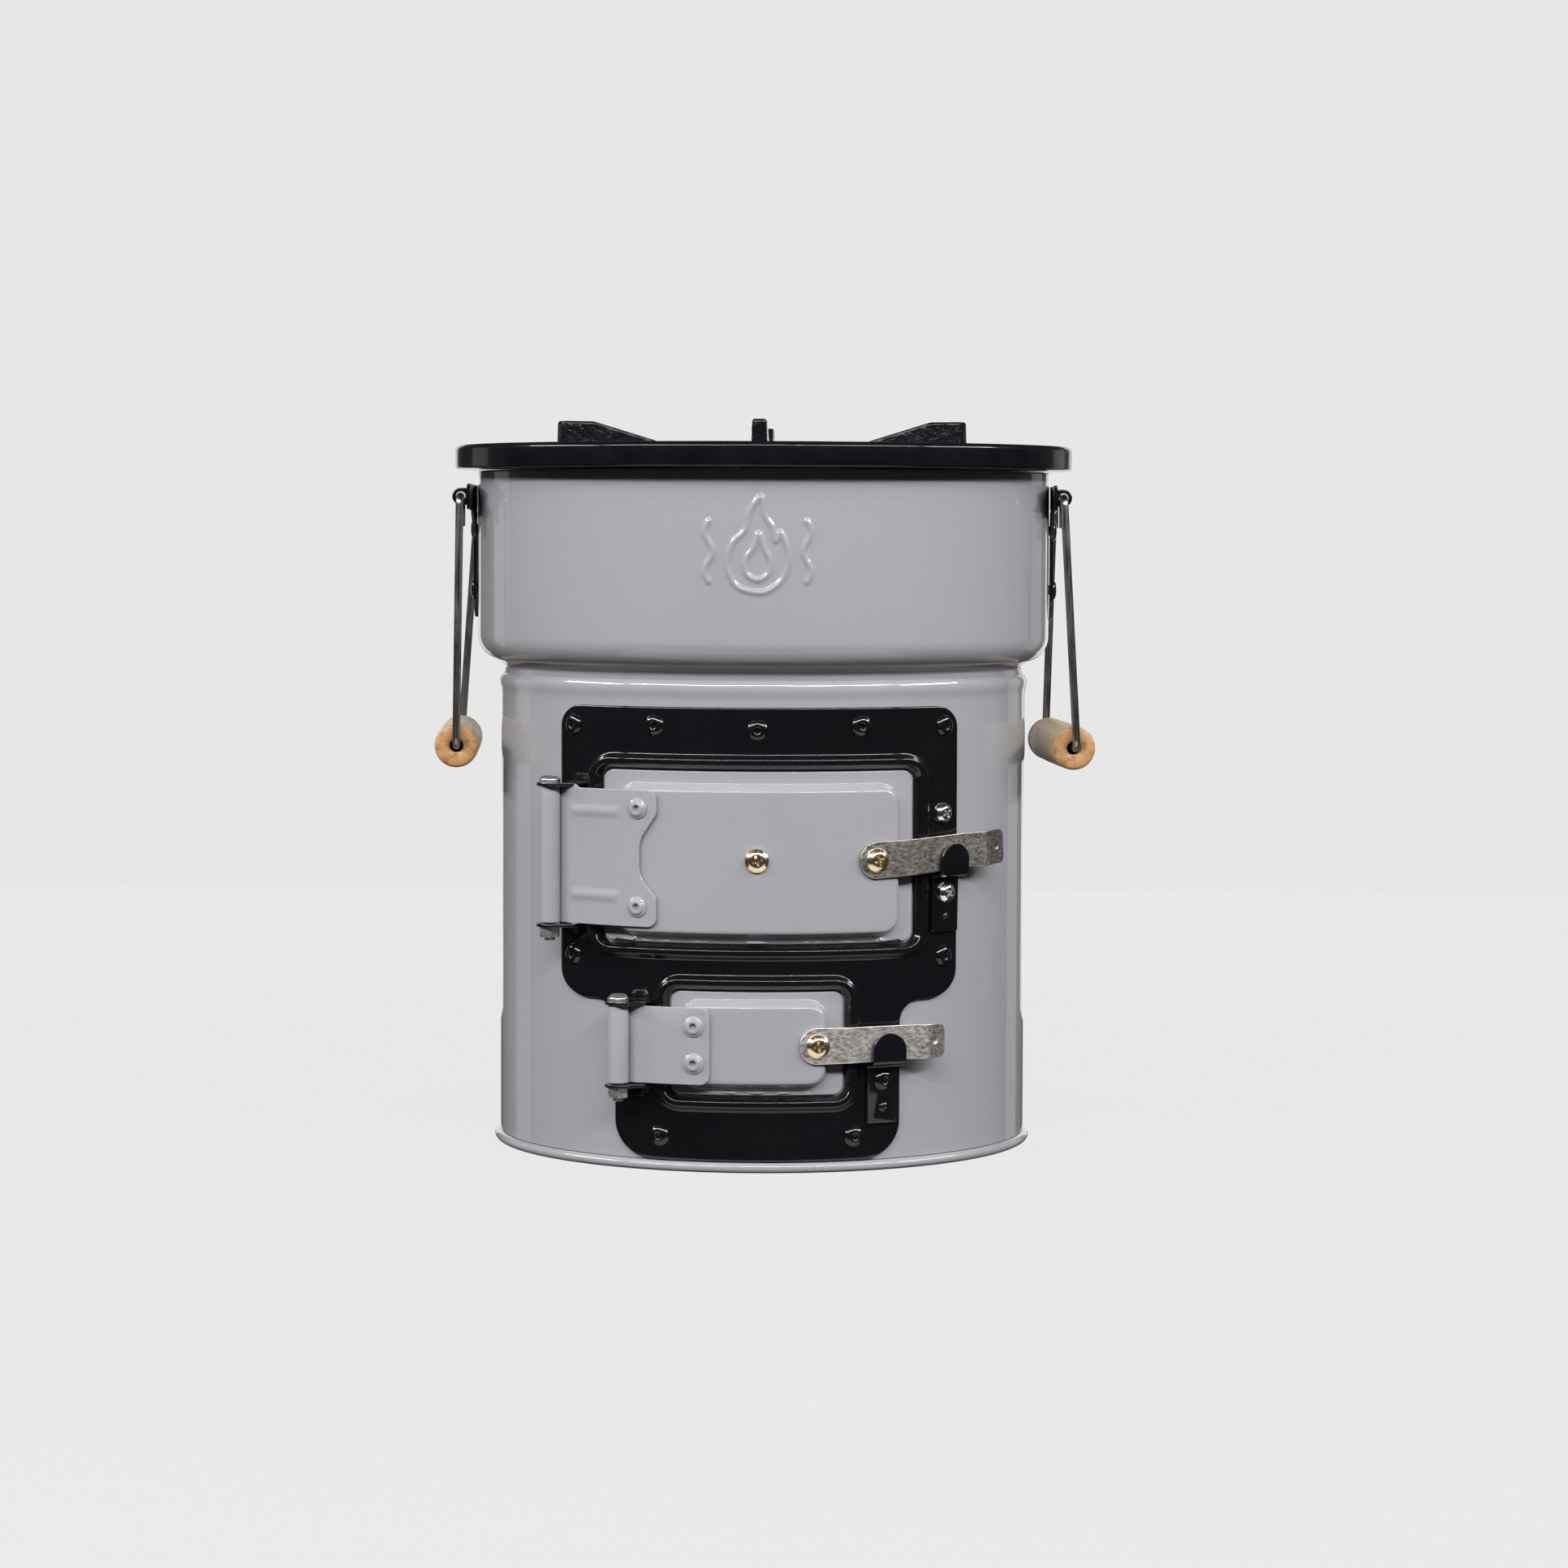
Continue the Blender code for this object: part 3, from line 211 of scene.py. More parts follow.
def linked(name, data, place=IDENTITY):
    obj = bpy.data.objects.new(name, data)
    obj.matrix_world = place
    bpy.context.scene.collection.objects.link(obj)
    return obj


def evaluated_mesh(obj):
    graph = bpy.context.evaluated_depsgraph_get()
    return bpy.data.meshes.new_from_object(obj.evaluated_get(graph))


def plate(points, thickness, rounding=0.0, holes=(), resolution=2):
    """A flat outline as a solid with rounded edges, its middle on the XY plane, as a BMesh."""
    curve = bpy.data.curves.new("plate", "CURVE")
    curve.dimensions = "2D"
    curve.fill_mode = "BOTH"
    curve.extrude = thickness / 2 - rounding
    curve.bevel_depth = rounding
    curve.bevel_resolution = resolution
    curve.offset = -rounding
    for loop in (points, *holes):
        spline = curve.splines.new("POLY")
        spline.points.add(len(loop) - 1)
        for target, (x, y) in zip(spline.points, loop):
            target.co = (x, y, 0, 1)
        spline.use_cyclic_u = True
    holder = linked("plate", curve)
    mesh = evaluated_mesh(holder)
    bm = bmesh.new()
    bm.from_mesh(mesh)
    bmesh.ops.remove_doubles(bm, verts=bm.verts, dist=0.000002)
    bmesh.ops.recalc_face_normals(bm, faces=bm.faces)
    bpy.data.objects.remove(holder)
    bpy.data.meshes.remove(mesh)
    return bm


def box(low, high):
    bm = bmesh.new()
    size = Vector(high) - Vector(low)
    middle = (Vector(high) + Vector(low)) / 2
    bmesh.ops.create_cube(bm, size=1, matrix=Matrix.Translation(middle) @ Matrix.Diagonal((*size, 1)))
    return bm


def cut_across(bm, distances, axis=0, dist=1e-6):
    """Cuts a mesh with planes across an axis, so that it can bend there."""
    normal = Vector((0, 0, 0))
    normal[axis] = 1
    for distance in distances:
        everything = bm.verts[:] + bm.edges[:] + bm.faces[:]
        bmesh.ops.bisect_plane(bm, geom=everything, dist=dist, plane_co=normal * distance, plane_no=normal)


def steps_between(low, high, step):
    return [k * step for k in range(math.ceil(low / step), math.floor(high / step) + 1)]


def face_out(bm):
    bmesh.ops.recalc_face_normals(bm, faces=bm.faces)
    if bm.calc_volume(signed=True) < 0:
        bmesh.ops.reverse_faces(bm, faces=bm.faces)


def bend_round_body(bm):
    """Wraps a flat mesh round the Z axis: X holds the angle, Y the height and Z the radius."""
    low = min(v.co.x for v in bm.verts)
    high = max(v.co.x for v in bm.verts)
    cut_across(bm, steps_between(low, high, BEND_STEP), dist=4e-5)
    for v in bm.verts:
        angle, height, radius = v.co
        v.co = around(angle, radius, height)
    bmesh.ops.recalc_face_normals(bm, faces=bm.faces)
    outward = sum(f.normal.dot((*f.calc_center_median().xy, 0)) for f in bm.faces)
    if outward < 0:
        bmesh.ops.reverse_faces(bm, faces=bm.faces)


def angle_at(x, radius):
    return math.asin(x / radius)


def ring_of(bm, points, radius, lift):
    made = [bm.verts.new((angle_at(x, radius), y, radius + lift)) for x, y in points]
    for k in range(len(made)):
        bm.edges.new((made[k - 1], made[k]))
    return made


def pressed(radius, border, *openings):
    """A pressed sheet round the body, from lofts of (outline, lift) rings, filled between."""
    bm = bmesh.new()
    sets = (border, *openings)
    lofts = [[ring_of(bm, points, radius, lift) for points, lift in rings] for rings in sets]
    for rings in lofts:
        for outer, inner in zip(rings, rings[1:]):
            for k in range(len(outer)):
                bm.faces.new((outer[k - 1], outer[k], inner[k], inner[k - 1]))
    loops = [lofts[0][-1], *[rings[0] for rings in lofts[1:]]]
    edges = [bm.edges.get((loop[k - 1], loop[k])) for loop in loops for k in range(len(loop))]
    bmesh.ops.triangle_fill(bm, use_beauty=True, use_dissolve=False, edges=edges)
    bend_round_body(bm)
    return bm


def directions(points):
    """The way along each span of a path, and the way through each of its points."""
    ways = [(b - a).normalized() for a, b in zip(points, points[1:])]
    return ways, [ways[0]] + [(a + b).normalized() for a, b in zip(ways, ways[1:])] + [ways[-1]]


def bend_along(bm, points):
    """Bends a flat strip along a path in the XZ plane: X becomes the distance along it."""
    at = [Vector((x, 0, z)) for x, z in points]
    lengths = [0.0]
    for a, b in zip(at, at[1:]):
        lengths.append(lengths[-1] + (b - a).length)
    cut_across(bm, lengths[1:-1])
    ways, corners = directions(at)
    for v in bm.verts:
        s = v.co.x
        k = 0
        while k < len(ways) - 1 and s > lengths[k + 1]:
            k += 1
        span = lengths[k + 1] - lengths[k]
        t = (s - lengths[k]) / span
        middle = at[k] + ways[k] * (s - lengths[k])
        along = corners[k].lerp(corners[k + 1], min(max(t, 0), 1)).normalized()
        out = Vector((-along.z, 0, along.x)) * v.co.z
        v.co = (middle.x + out.x, v.co.y, middle.z + out.z)


def spin(angle):
    return Matrix.Rotation(angle, 4, "Z")


def upright(angle, radius, height=0.0):
    return Matrix.Translation(around(angle, radius, height))


def facing(angle, radius=0.0, height=0.0):
    """The frame at a place on the body: X runs round it, Y runs up and Z points straight out."""
    return upright(angle, radius, height) @ spin(angle) @ STANDING


# --- Pieces ---


def object_of(name, bm, place=IDENTITY):
    mesh = bpy.data.meshes.new(name)
    bm.to_mesh(mesh)
    bm.free()
    return linked(name, mesh, place)


def settle(obj):
    """Applies an object's modifiers to its mesh."""
    bpy.context.view_layer.update()
    mesh = evaluated_mesh(obj)
    obj.modifiers.clear()
    obj.data = mesh


def solidify(obj, thickness):
    modifier = obj.modifiers.new("thickness", "SOLIDIFY")
    modifier.thickness = thickness
    modifier.offset = -1
    settle(obj)


def carve(obj, cutters, operation="DIFFERENCE"):
    """Cuts each (BMesh, place) from an object, or joins it to it."""
    made = []
    for bm, place in cutters:
        other = object_of("cutter", bm, place)
        made.append(other)
        modifier = obj.modifiers.new("carve", "BOOLEAN")
        modifier.operation = operation
        modifier.solver = "EXACT"
        modifier.object = other
    settle(obj)
    for other in made:
        bpy.data.objects.remove(other)


def piece(obj, body, slot, nodes=(), sharp=35, finish=None):
    """Shades a piece, gives it its material and hangs it on its body."""
    obj.data.shade_smooth()
    obj.data.set_sharp_from_angle(angle=math.radians(sharp))
    obj.data.materials.clear()
    obj.data.materials.append(finish or FINISHES[slot])
    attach(obj, body)
    if nodes:
        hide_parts(*nodes)
    return obj


def fixed(obj, slot, nodes=(), sharp=35, finish=None):
    return piece(obj, "stove_body", slot, nodes, sharp, finish)


# --- Materials ---


class Finish:
    """A node material, built a node at a time. A (node, socket) pair as a value makes a link."""

    def __init__(self, name, **shader):
        self.material = bpy.data.materials.new(name)
        self.material.use_nodes = True
        self.tree = self.material.node_tree
        self.shader = self.tree.nodes["Principled BSDF"]
        self.set(self.shader, shader)
        self.at = (self.add("TexCoord"), "Object")

    def set(self, node, values):
        for key, value in values.items():
            socket = node.inputs[key if isinstance(key, int) else key.replace("_", " ")]
            if isinstance(value, tuple) and isinstance(value[0], bpy.types.Node):
                self.tree.links.new(value[0].outputs[value[1]], socket)
            elif value is not None:
                socket.default_value = value

    def add(self, kind, settings=None, **values):
        node = self.tree.nodes.new("ShaderNode" + kind)
        for key, value in (settings or {}).items():
            setattr(node, key, value)
        self.set(node, values)
        return node

    def noise(self, scale, detail=3.0, roughness=0.5, at=None, distortion=0.0):
        values = {"Scale": scale, "Detail": detail, "Roughness": roughness, "Distortion": distortion}
        return self.add("TexNoise", Vector=at or self.at, **values), "Fac"

    def stretched(self, scale):
        return self.add("Mapping", Vector=self.at, Scale=scale), "Vector"

    def between(self, value, low, high, start=0.0, end=1.0):
        node = self.add("MapRange", Value=value, From_Min=low, From_Max=high, To_Min=start, To_Max=end)
        return node, "Result"

    def patches(self, scale, detail, low, high, start=0.0, end=1.0, roughness=0.5):
        return self.between(self.noise(scale, detail, roughness), low, high, start, end)

    def maths(self, operation, first, second=None):
        node = self.add("Math", {"operation": operation})
        self.set(node, {0: first, 1: second})
        return node, 0

    def mix(self, factor, a, b):
        node = self.add("Mix", {"data_type": "RGBA"})
        colours = [(*c, 1) if isinstance(c, tuple) and len(c) == 3 else c for c in (a, b)]
        self.set(node, {0: factor, 6: colours[0], 7: colours[1]})
        return node, 2

    def bump(self, height, distance, strength=1.0, under=None):
        return self.add("Bump", Height=height, Distance=distance, Strength=strength, Normal=under), "Normal"

    def shade(self, tone, haze, normal=None, **more):
        self.set(self.shader, {"Base_Color": tone, "Roughness": haze, "Normal": normal, **more})
        return self.material


def toned(colour, factor, lift=0.0):
    return tuple(min(1, c * factor + lift) for c in colour)


def enamel(name, colour, deep, roughness, peel, gloss):
    """Baked enamel on pressed steel: a glassy coat with slight orange peel, haze and specks."""
    f = Finish(name, Coat_Weight=gloss, Coat_Roughness=0.035, Coat_IOR=1.5, Specular_IOR_Level=0.12)
    tone = f.mix(f.patches(9, 3, 0.3, 0.7), colour, deep)
    tone = f.mix(f.patches(1500, 1, 0.755, 0.785), tone, toned(colour, 0.55))
    tone = f.mix(f.patches(2300, 0, 0.77, 0.8), tone, toned(colour, 1.3, 0.01))
    haze = f.patches(28, 5, 0.35, 0.75, roughness * 0.82, roughness * 1.3, 0.62)
    waves = f.bump(f.noise(95, 1), 0.00005, peel)
    fine = f.bump(f.noise(520, 2), 0.000005, peel, waves)
    coat = f.bump(f.noise(120, 1), 0.00004, peel)
    return f.shade(tone, haze, fine, Coat_Normal=coat)


def cast_iron():
    """Painted casting: nearly smooth on the machined ring and pitted on the fins above it."""
    f = Finish("cast_iron", Coat_Weight=0.55, Coat_Roughness=0.07, Specular_IOR_Level=0.08)
    height = (f.add("SeparateXYZ", Vector=f.at), "Z")
    rough = f.between(height, RING_TOP - 0.0004, RING_TOP + 0.0012, 0.03, 1.0)
    tone = f.mix(f.patches(60, 4, 0.35, 0.7), (0.003, 0.0033, 0.005), (0.0052, 0.0056, 0.008))
    lumps = f.maths("ADD", f.noise(420, 5, 0.62), f.noise(130, 3))
    normal = f.bump(f.maths("MULTIPLY", lumps, rough), 0.0008, 0.45)
    return f.shade(tone, f.patches(75, 5, 0.3, 0.7, 0.24, 0.4), normal, Coat_Normal=normal)


def metal(name, colour, tint, roughness, grain, stretch=(1, 1, 1), scratches=0.0, pitting=0.0):
    """Bare or plated metal with fine drawn grain, stains and a few scratches."""
    f = Finish(name, Metallic=1.0)
    lines = f.noise(900, 4, 0.6, at=f.stretched(stretch))
    tone = f.mix(f.patches(170, 5, 0.35, 0.72, roughness=0.6), colour, tint)
    tone = f.mix(f.between(lines, 0.4, 0.75, 0.0, 0.45), tone, toned(colour, 0.72))
    haze = f.between(lines, 0.3, 0.75, roughness * 0.75, roughness * 1.45)
    normal = f.bump(lines, 0.00002, grain)
    if scratches:
        web = f.add("TexVoronoi", {"feature": "DISTANCE_TO_EDGE"}, Vector=f.at, Scale=95.0, Randomness=1.0)
        thin = f.between((web, "Distance"), 0.0, 0.014, 1.0, 0.0)
        broken = f.mix(f.patches(75, 3, 0.52, 0.6), (0, 0, 0), thin)
        tone = f.mix(broken, tone, toned(colour, 1.5))
        normal = f.bump(broken, -0.00003, scratches, normal)
    if pitting:
        normal = f.bump(f.noise(1300, 3), 0.00002, pitting, normal)
    return f.shade(tone, haze, normal)


def yellow_zinc():
    """Yellow passivated plating, whose colour drifts from gold to pink and green."""
    f = Finish("yellow_zinc", Metallic=1.0)
    tone = f.mix(f.patches(330, 2, 0.38, 0.62), (0.86, 0.68, 0.42), (0.9, 0.76, 0.57))
    tone = f.mix(f.patches(520, 1, 0.6, 0.7, 0, 0.6), tone, (0.72, 0.68, 0.42))
    haze = f.patches(900, 4, 0.3, 0.7, 0.14, 0.3)
    return f.shade(tone, haze, f.bump(f.noise(1600, 3), 0.00002, 0.5))


def wood():
    """Turned pale hardwood with open pores and browner ends, the grain along its Z axis."""
    f = Finish("wood", Specular_IOR_Level=0.35)
    along = f.stretched((1, 1, 0.055))
    wavy = f.noise(22, 3, at=along)
    wave = f.add(
        "TexWave", {"wave_type": "BANDS", "bands_direction": "X"},
        Vector=along, Scale=75.0, Distortion=6.0, Detail=3.0, Detail_Scale=1.6,
    )
    bands = (wave, "Fac")
    tone = f.mix(bands, (0.53, 0.41, 0.25), (0.64, 0.52, 0.35))
    tone = f.mix(f.between(wavy, 0.35, 0.65, 0, 0.5), tone, (0.5, 0.335, 0.165))
    pores = f.between(f.noise(1500, 2, at=along), 0.62, 0.7)
    tone = f.mix(pores, tone, (0.25, 0.125, 0.05))
    tip = f.maths("ABSOLUTE", (f.add("SeparateXYZ", Vector=f.at), "Z"))
    tone = f.mix(f.between(tip, 0.0425, GRIP_HALF - 0.0001, 0, 0.9), tone, (0.56, 0.295, 0.115))
    blotches = f.patches(240, 4, 0.47, 0.64, 0, 0.85, 0.7)
    scorched = f.maths("MULTIPLY", blotches, f.between(tip, 0.0425, GRIP_HALF - 0.0001))
    tone = f.mix(scorched, tone, (0.25, 0.105, 0.03))
    normal = f.bump(bands, 0.00004, 0.5, f.bump(pores, -0.00012, 0.6))
    return f.shade(tone, f.between(wavy, 0.3, 0.7, 0.42, 0.62), normal)


def ceramic():
    """Pressed refractory tile with a grainy face and soot near the middle."""
    f = Finish("ceramic")
    grains = f.patches(700, 4, 0.35, 0.7)
    tone = f.mix(grains, (0.62, 0.53, 0.43), (0.78, 0.7, 0.6))
    tone = f.mix(f.patches(28, 4, 0.45, 0.75, 0, 0.7), tone, (0.22, 0.18, 0.15))
    return f.shade(tone, f.between(grains, 0, 1, 0.8, 0.95), f.bump(f.noise(500, 5, 0.7), 0.0003, 0.6))


def mineral_wool():
    f = Finish("mineral_wool", Sheen_Weight=0.3)
    fibres = f.noise(420, 6, 0.75, at=f.stretched((1, 1, 0.2)), distortion=1.5)
    tone = f.mix(f.between(fibres, 0.35, 0.7), (0.38, 0.33, 0.25), (0.66, 0.61, 0.5))
    return f.shade(tone, f.between(fibres, 0, 1, 0.85, 1.0), f.bump(fibres, 0.0008, 0.8))


def burner_steel():
    """Stainless sheet that has seen fire: straw and blue heat tint under a film of soot."""
    f = Finish("chamber_steel", Metallic=1.0)
    drawn = f.noise(700, 4, 0.6, at=f.stretched((1, 1, 0.08)))
    tone = f.mix(f.patches(16, 3, 0.35, 0.65), (0.36, 0.33, 0.3), (0.4, 0.3, 0.19))
    tone = f.mix(f.patches(34, 4, 0.55, 0.75, 0, 0.6), tone, (0.16, 0.17, 0.22))
    tone = f.mix(f.patches(60, 5, 0.5, 0.72, 0, 0.7, 0.7), tone, (0.06, 0.055, 0.05))
    return f.shade(tone, f.between(drawn, 0.3, 0.7, 0.34, 0.58), f.bump(drawn, 0.00003, 0.5))


def strap_steel(name, colour, tint, roughness):
    return metal(name, colour, tint, roughness, 0.15, (0.5, 1, 1), scratches=0.4, pitting=0.3)


FINISHES = {
    "grey_enamel": enamel("grey_enamel", (0.356, 0.353, 0.374), (0.336, 0.333, 0.356), 0.34, 0.35, 0.8),
    "black_enamel": enamel("black_enamel", (0.0036, 0.0036, 0.005), (0.005, 0.005, 0.0068), 0.26, 0.45, 1.0),
    "cast_iron": cast_iron(),
    "bright_steel": metal("bright_steel", (0.82, 0.8, 0.77), (0.72, 0.69, 0.64), 0.15, 0.2, pitting=0.2),
    "spring_steel": strap_steel("spring_steel", (0.57, 0.53, 0.49), (0.4, 0.36, 0.32), 0.36),
    "yellow_zinc": yellow_zinc(),
    "wire_steel": metal(
        "wire_steel", (0.36, 0.35, 0.34), (0.22, 0.21, 0.2), 0.27, 0.4, (1, 1, 0.06), pitting=0.3
    ),
    "wood": wood(),
    "chamber_steel": burner_steel(),
    "ceramic": ceramic(),
    "mineral_wool": mineral_wool(),
}
# A paler copy of the spring steel for the ash latch strap: painted sheen, a lighter colour standing in for
# the brighter light that strap catches
SHEEN_PAINTED_STRAP = strap_steel("sheen_painted_strap", (0.86, 0.81, 0.77), (0.66, 0.61, 0.57), 0.38)
NUT_STEEL = metal("nut_steel", (0.7, 0.71, 0.72), (0.52, 0.53, 0.54), 0.34, 0.2, pitting=0.3)


# --- Shell ---


def smooth_loop(points, samples=10):
    """A closed curve through points, as (x, y) samples."""
    made = []
    for k in range(len(points)):
        p0, p1, p2, p3 = (Vector(points[(k + o) % len(points)]) for o in (-1, 0, 1, 2))
        for s in range(samples):
            t = s / samples
            squared = (2 * p0 - 5 * p1 + 4 * p2 - p3) * t**2
            cubed = (3 * p1 - p0 - 3 * p2 + p3) * t**3
            made.append(0.5 * (2 * p1 + (p2 - p0) * t + squared + cubed))
    return [(p.x, p.y) for p in made]


EMBLEM_CENTRE = 0.2625
EMBLEM_REACH = 0.027
EMBLEM_RISE = 0.0008
EMBLEM_LINE = 0.0019
# The flames are in millimetres
OUTER_FLAME = (
    (0, -19), (-8.6, -16.4), (-12.6, -8), (-10.6, 1), (-5.2, 7), (-3.6, 14), (1.2, 20.5), (3.2, 12.5),
    (6.2, 8), (7.4, 2.5), (9.6, 5.6), (12.8, -3.5), (10.8, -12.5), (5.6, -17.6),
)
INNER_FLAME = (
    (0, -13.8), (-4.6, -11.2), (-5.0, -5.6), (-1.8, -0.4), (0.4, 5.2), (3.0, -1.2), (5.2, -5.8), (4.4, -11.2),
)


def emblem_lines():
    """A flame between two waves of heat, as segments in (arc length, height)."""
    lines = []
    for flame in (OUTER_FLAME, INNER_FLAME):
        loop = [(x / 1000, y / 1000) for x, y in smooth_loop(flame)]
        lines += zip(loop, loop[1:] + loop[:1])
    for side in (-1, 1):
        wave = []
        for t in (k / 40 for k in range(41)):
            wave.append((side * (0.0205 + 0.0016 * math.sin(t * 3 * math.pi)), -0.0145 + 0.025 * t))
        lines += zip(wave, wave[1:])
    return np.array(lines)


def emblem_relief():
    """The height of the emblem at an angle and height on the band."""
    segments = emblem_lines()
    starts = segments[:, 0]
    spans = segments[:, 1] - starts
    squares = (spans**2).sum(1)

    def relief(angle, height):
        turned = (angle + math.pi) % (2 * math.pi) - math.pi
        at = np.array((turned * BAND_RADIUS, height - EMBLEM_CENTRE))
        if abs(at[0]) > EMBLEM_REACH or abs(at[1]) > EMBLEM_REACH:
            return 0.0
        t = np.clip(((at - starts) * spans).sum(1) / squares, 0, 1)
        near = np.sqrt(((starts + spans * t[:, None] - at) ** 2).sum(1)).min()
        return EMBLEM_RISE * math.cos(math.pi / 2 * min(1, near / EMBLEM_LINE)) ** 2

    return relief


def make_upper_shell():
    front = EMBLEM_REACH / BAND_RADIUS
    dense = list(np.linspace(-front, front, 130))
    rest = list(np.linspace(front, 2 * math.pi - front, 190))[1:-1]
    band = [BAND_TOP - 0.0006, BAND_TOP - 0.001, BAND_TOP - 0.002]
    band += list(np.linspace(EMBLEM_CENTRE + 0.024, EMBLEM_CENTRE - 0.024, 116))
    profile = [(BAND_RADIUS - 0.0004, BAND_TOP)] + [(BAND_RADIUS, z) for z in band]
    profile += arc((BAND_RADIUS - 0.0118, 0.223), 0.0118, 0, -70, 12)
    profile += path(((0.1172, 0.211, 0), (0.1146, 0.2094, 0.0018), (0.1146, 0.196, 0)), 6)[1:]
    obj = object_of("upper_shell_skin", lathe(profile, angles=dense + rest, relief=emblem_relief()))
    solidify(obj, SHELL_SHEET)
    fixed(obj, "grey_enamel", ["upper_shell"])


def make_lower_shell():
    """The body, with a soft rolled bead at its top and a window behind each door."""
    bead = [
        (0.1152, 0.2066), (0.1156, 0.2064), (0.1161, 0.2057), (0.1165, 0.2047), (0.1168, 0.2035),
        (0.11675, 0.2021), (0.1165, 0.2008), (0.1162, 0.1996), (0.11605, 0.1984), (BODY_RADIUS, 0.197),
    ]
    walls = [(BODY_RADIUS, z) for z in (0.19, 0.15, 0.1, 0.05, 0.0048)]
    obj = object_of("lower_shell_skin", lathe(bead + walls, 288))
    solidify(obj, SHELL_SHEET)
    windows = [rounded_box(*grown(opening, -0.0042), 0.004) for opening in (FUEL_OPENING, ASH_OPENING)]
    carve(obj, [(plate(window, 0.08), facing(0, 0.115)) for window in windows])
    fixed(obj, "grey_enamel", ["lower_shell"])


def make_base_pan():
    roll = arc((0.1163, 0.00235), 0.0022, 90, -90, 12)
    profile = [(0, 0.0042), (0.115, 0.0045), *roll, (0.1149, 0.00045), (0.1145, 0.0034), (0, 0.0034)]
    fixed(object_of("base_pan_skin", lathe(profile, 288)), "grey_enamel", ["base_pan"])


def make_cast_ring():
    profile = path((
        (0.05, DISH_TOP, 0), (0.1185, DISH_TOP, 0.004), (0.1262, RING_TOP, 0.003),
        (RING_RADIUS, RING_TOP, 0.0023), (RING_RADIUS, RING_BOTTOM, 0.0012), (0.05, RING_BOTTOM, 0),
    ), 8)
    ring = object_of("cast_ring", lathe(profile, 256, closed=True))
    fixed(ring, "cast_iron", ["cast_iron_top"], sharp=60)


def make_fin(number):
    """A pot support with draft, rounded edges and rough cast sides."""
    low = DISH_TOP - 0.0012
    side = outline((
        (0.053, low, 0), (0.1005, low, 0), (0.1002, FIN_TOP, 0.0012), (0.085, FIN_TOP, 0.006),
        (0.0545, 0.308, 0.001), (0.053, DISH_TOP + 0.003, 0.001),
    ), 4)
    bm = plate(side, FIN_WIDTH, 0.0012, resolution=3)
    cut_across(bm, steps_between(0.053, 0.103, 0.0009))
    cut_across(bm, steps_between(low, FIN_TOP, 0.0009), axis=1)
    flat = FIN_WIDTH / 2 - 0.0004
    for v in bm.verts:
        drawn_in = max(0, (v.co.y - DISH_TOP) / (FIN_TOP - DISH_TOP))
        rough = 1.0 if abs(v.co.z) > flat else 0.35
        seed = Vector((v.co.x, v.co.y, v.co.z + number * 0.05)) * 420
        bump = noise.fractal(seed, 0.9, 2.1, 3) * 0.00022 * rough
        v.co.z = v.co.z * (1 - 0.15 * drawn_in) + math.copysign(bump, v.co.z)
    bm.transform(spin(math.pi / 3 * number - math.pi / 2) @ STANDING)
    fixed(object_of(f"pot_fin_{number + 1}", bm), "cast_iron", sharp=50)


# Half the width, the bottom and the top of each tunnel's port in the chamber
PORTS = ((0.0523, 0.0997, 0.1658), (0.0329, 0.0361, 0.0735))


def make_chamber():
    sheet = [
        (0.0525, 0.2945), (0.0525, 0.206), (0.0528, 0.204), (0.0612, 0.187), (0.0615, 0.185),
        (0.0615, 0.0815), (0.0611, 0.0802), (0.0588, 0.0794), (0.0585, 0.079), (0.0588, 0.0786),
        (0.0611, 0.0778), (0.0615, 0.0765), (0.0615, 0.0183),
    ]
    chamber = object_of("chamber_wall", lathe(sheet, 144))
    solidify(chamber, 0.0015)
    carve(chamber, [(box((-half, -0.13, low), (half, -0.026, high)), IDENTITY) for half, low, high in PORTS])
    fixed(chamber, "chamber_steel", ["riser_tube", "fire_box", "ash_box"])


def slab(bore, rim, high, low, rounding, steps):
    return path(((bore, high, 0), (rim, high, rounding), (rim, low, rounding), (bore, low, 0)), steps)


def make_grate():
    high, radius, pitch = 0.0859, 0.0588, 0.014
    grate = object_of("grate_casting", lathe(slab(0, radius, high, high - 0.0045, 0.0008, 3), 96))
    slots = []
    for at in (k * pitch for k in range(-3, 4)):
        reach = math.sqrt((radius - 0.006) ** 2 - at**2)
        slot = rounded_box(at - 0.0035, at + 0.0035, -reach, reach, 0.0034, 6)
        slots.append((plate(slot, 0.02), Matrix.Translation((0, 0, high))))
    carve(grate, slots)
    fixed(grate, "cast_iron", ["fire_grate"])


def make_tile_and_top_pan():
    tile = lathe(slab(0, 0.112, 0.018, 0.0048, 0.001, 3), 96)
    fixed(object_of("refractory_floor", tile), "ceramic", ["floor_tile"])
    pan = lathe(slab(0.054, 0.1242, 0.2925, 0.2915, 0.0004, 2), 144, closed=True)
    fixed(object_of("top_closure", pan), "chamber_steel", ["top_pan"])


# --- Frame and doors ---


def edge_rings(points, rounding, steps=4):
    """The rings of a sheet's rounded edge, going in from its outline."""
    rings = []
    for k in range(steps + 1):
        a = math.pi / 2 * k / steps
        rings.append((inset(points, rounding * (1 - math.cos(a))), rounding * (math.sin(a) - 1)))
    rings.append((inset(points, rounding + 0.0008), 0))
    return rings


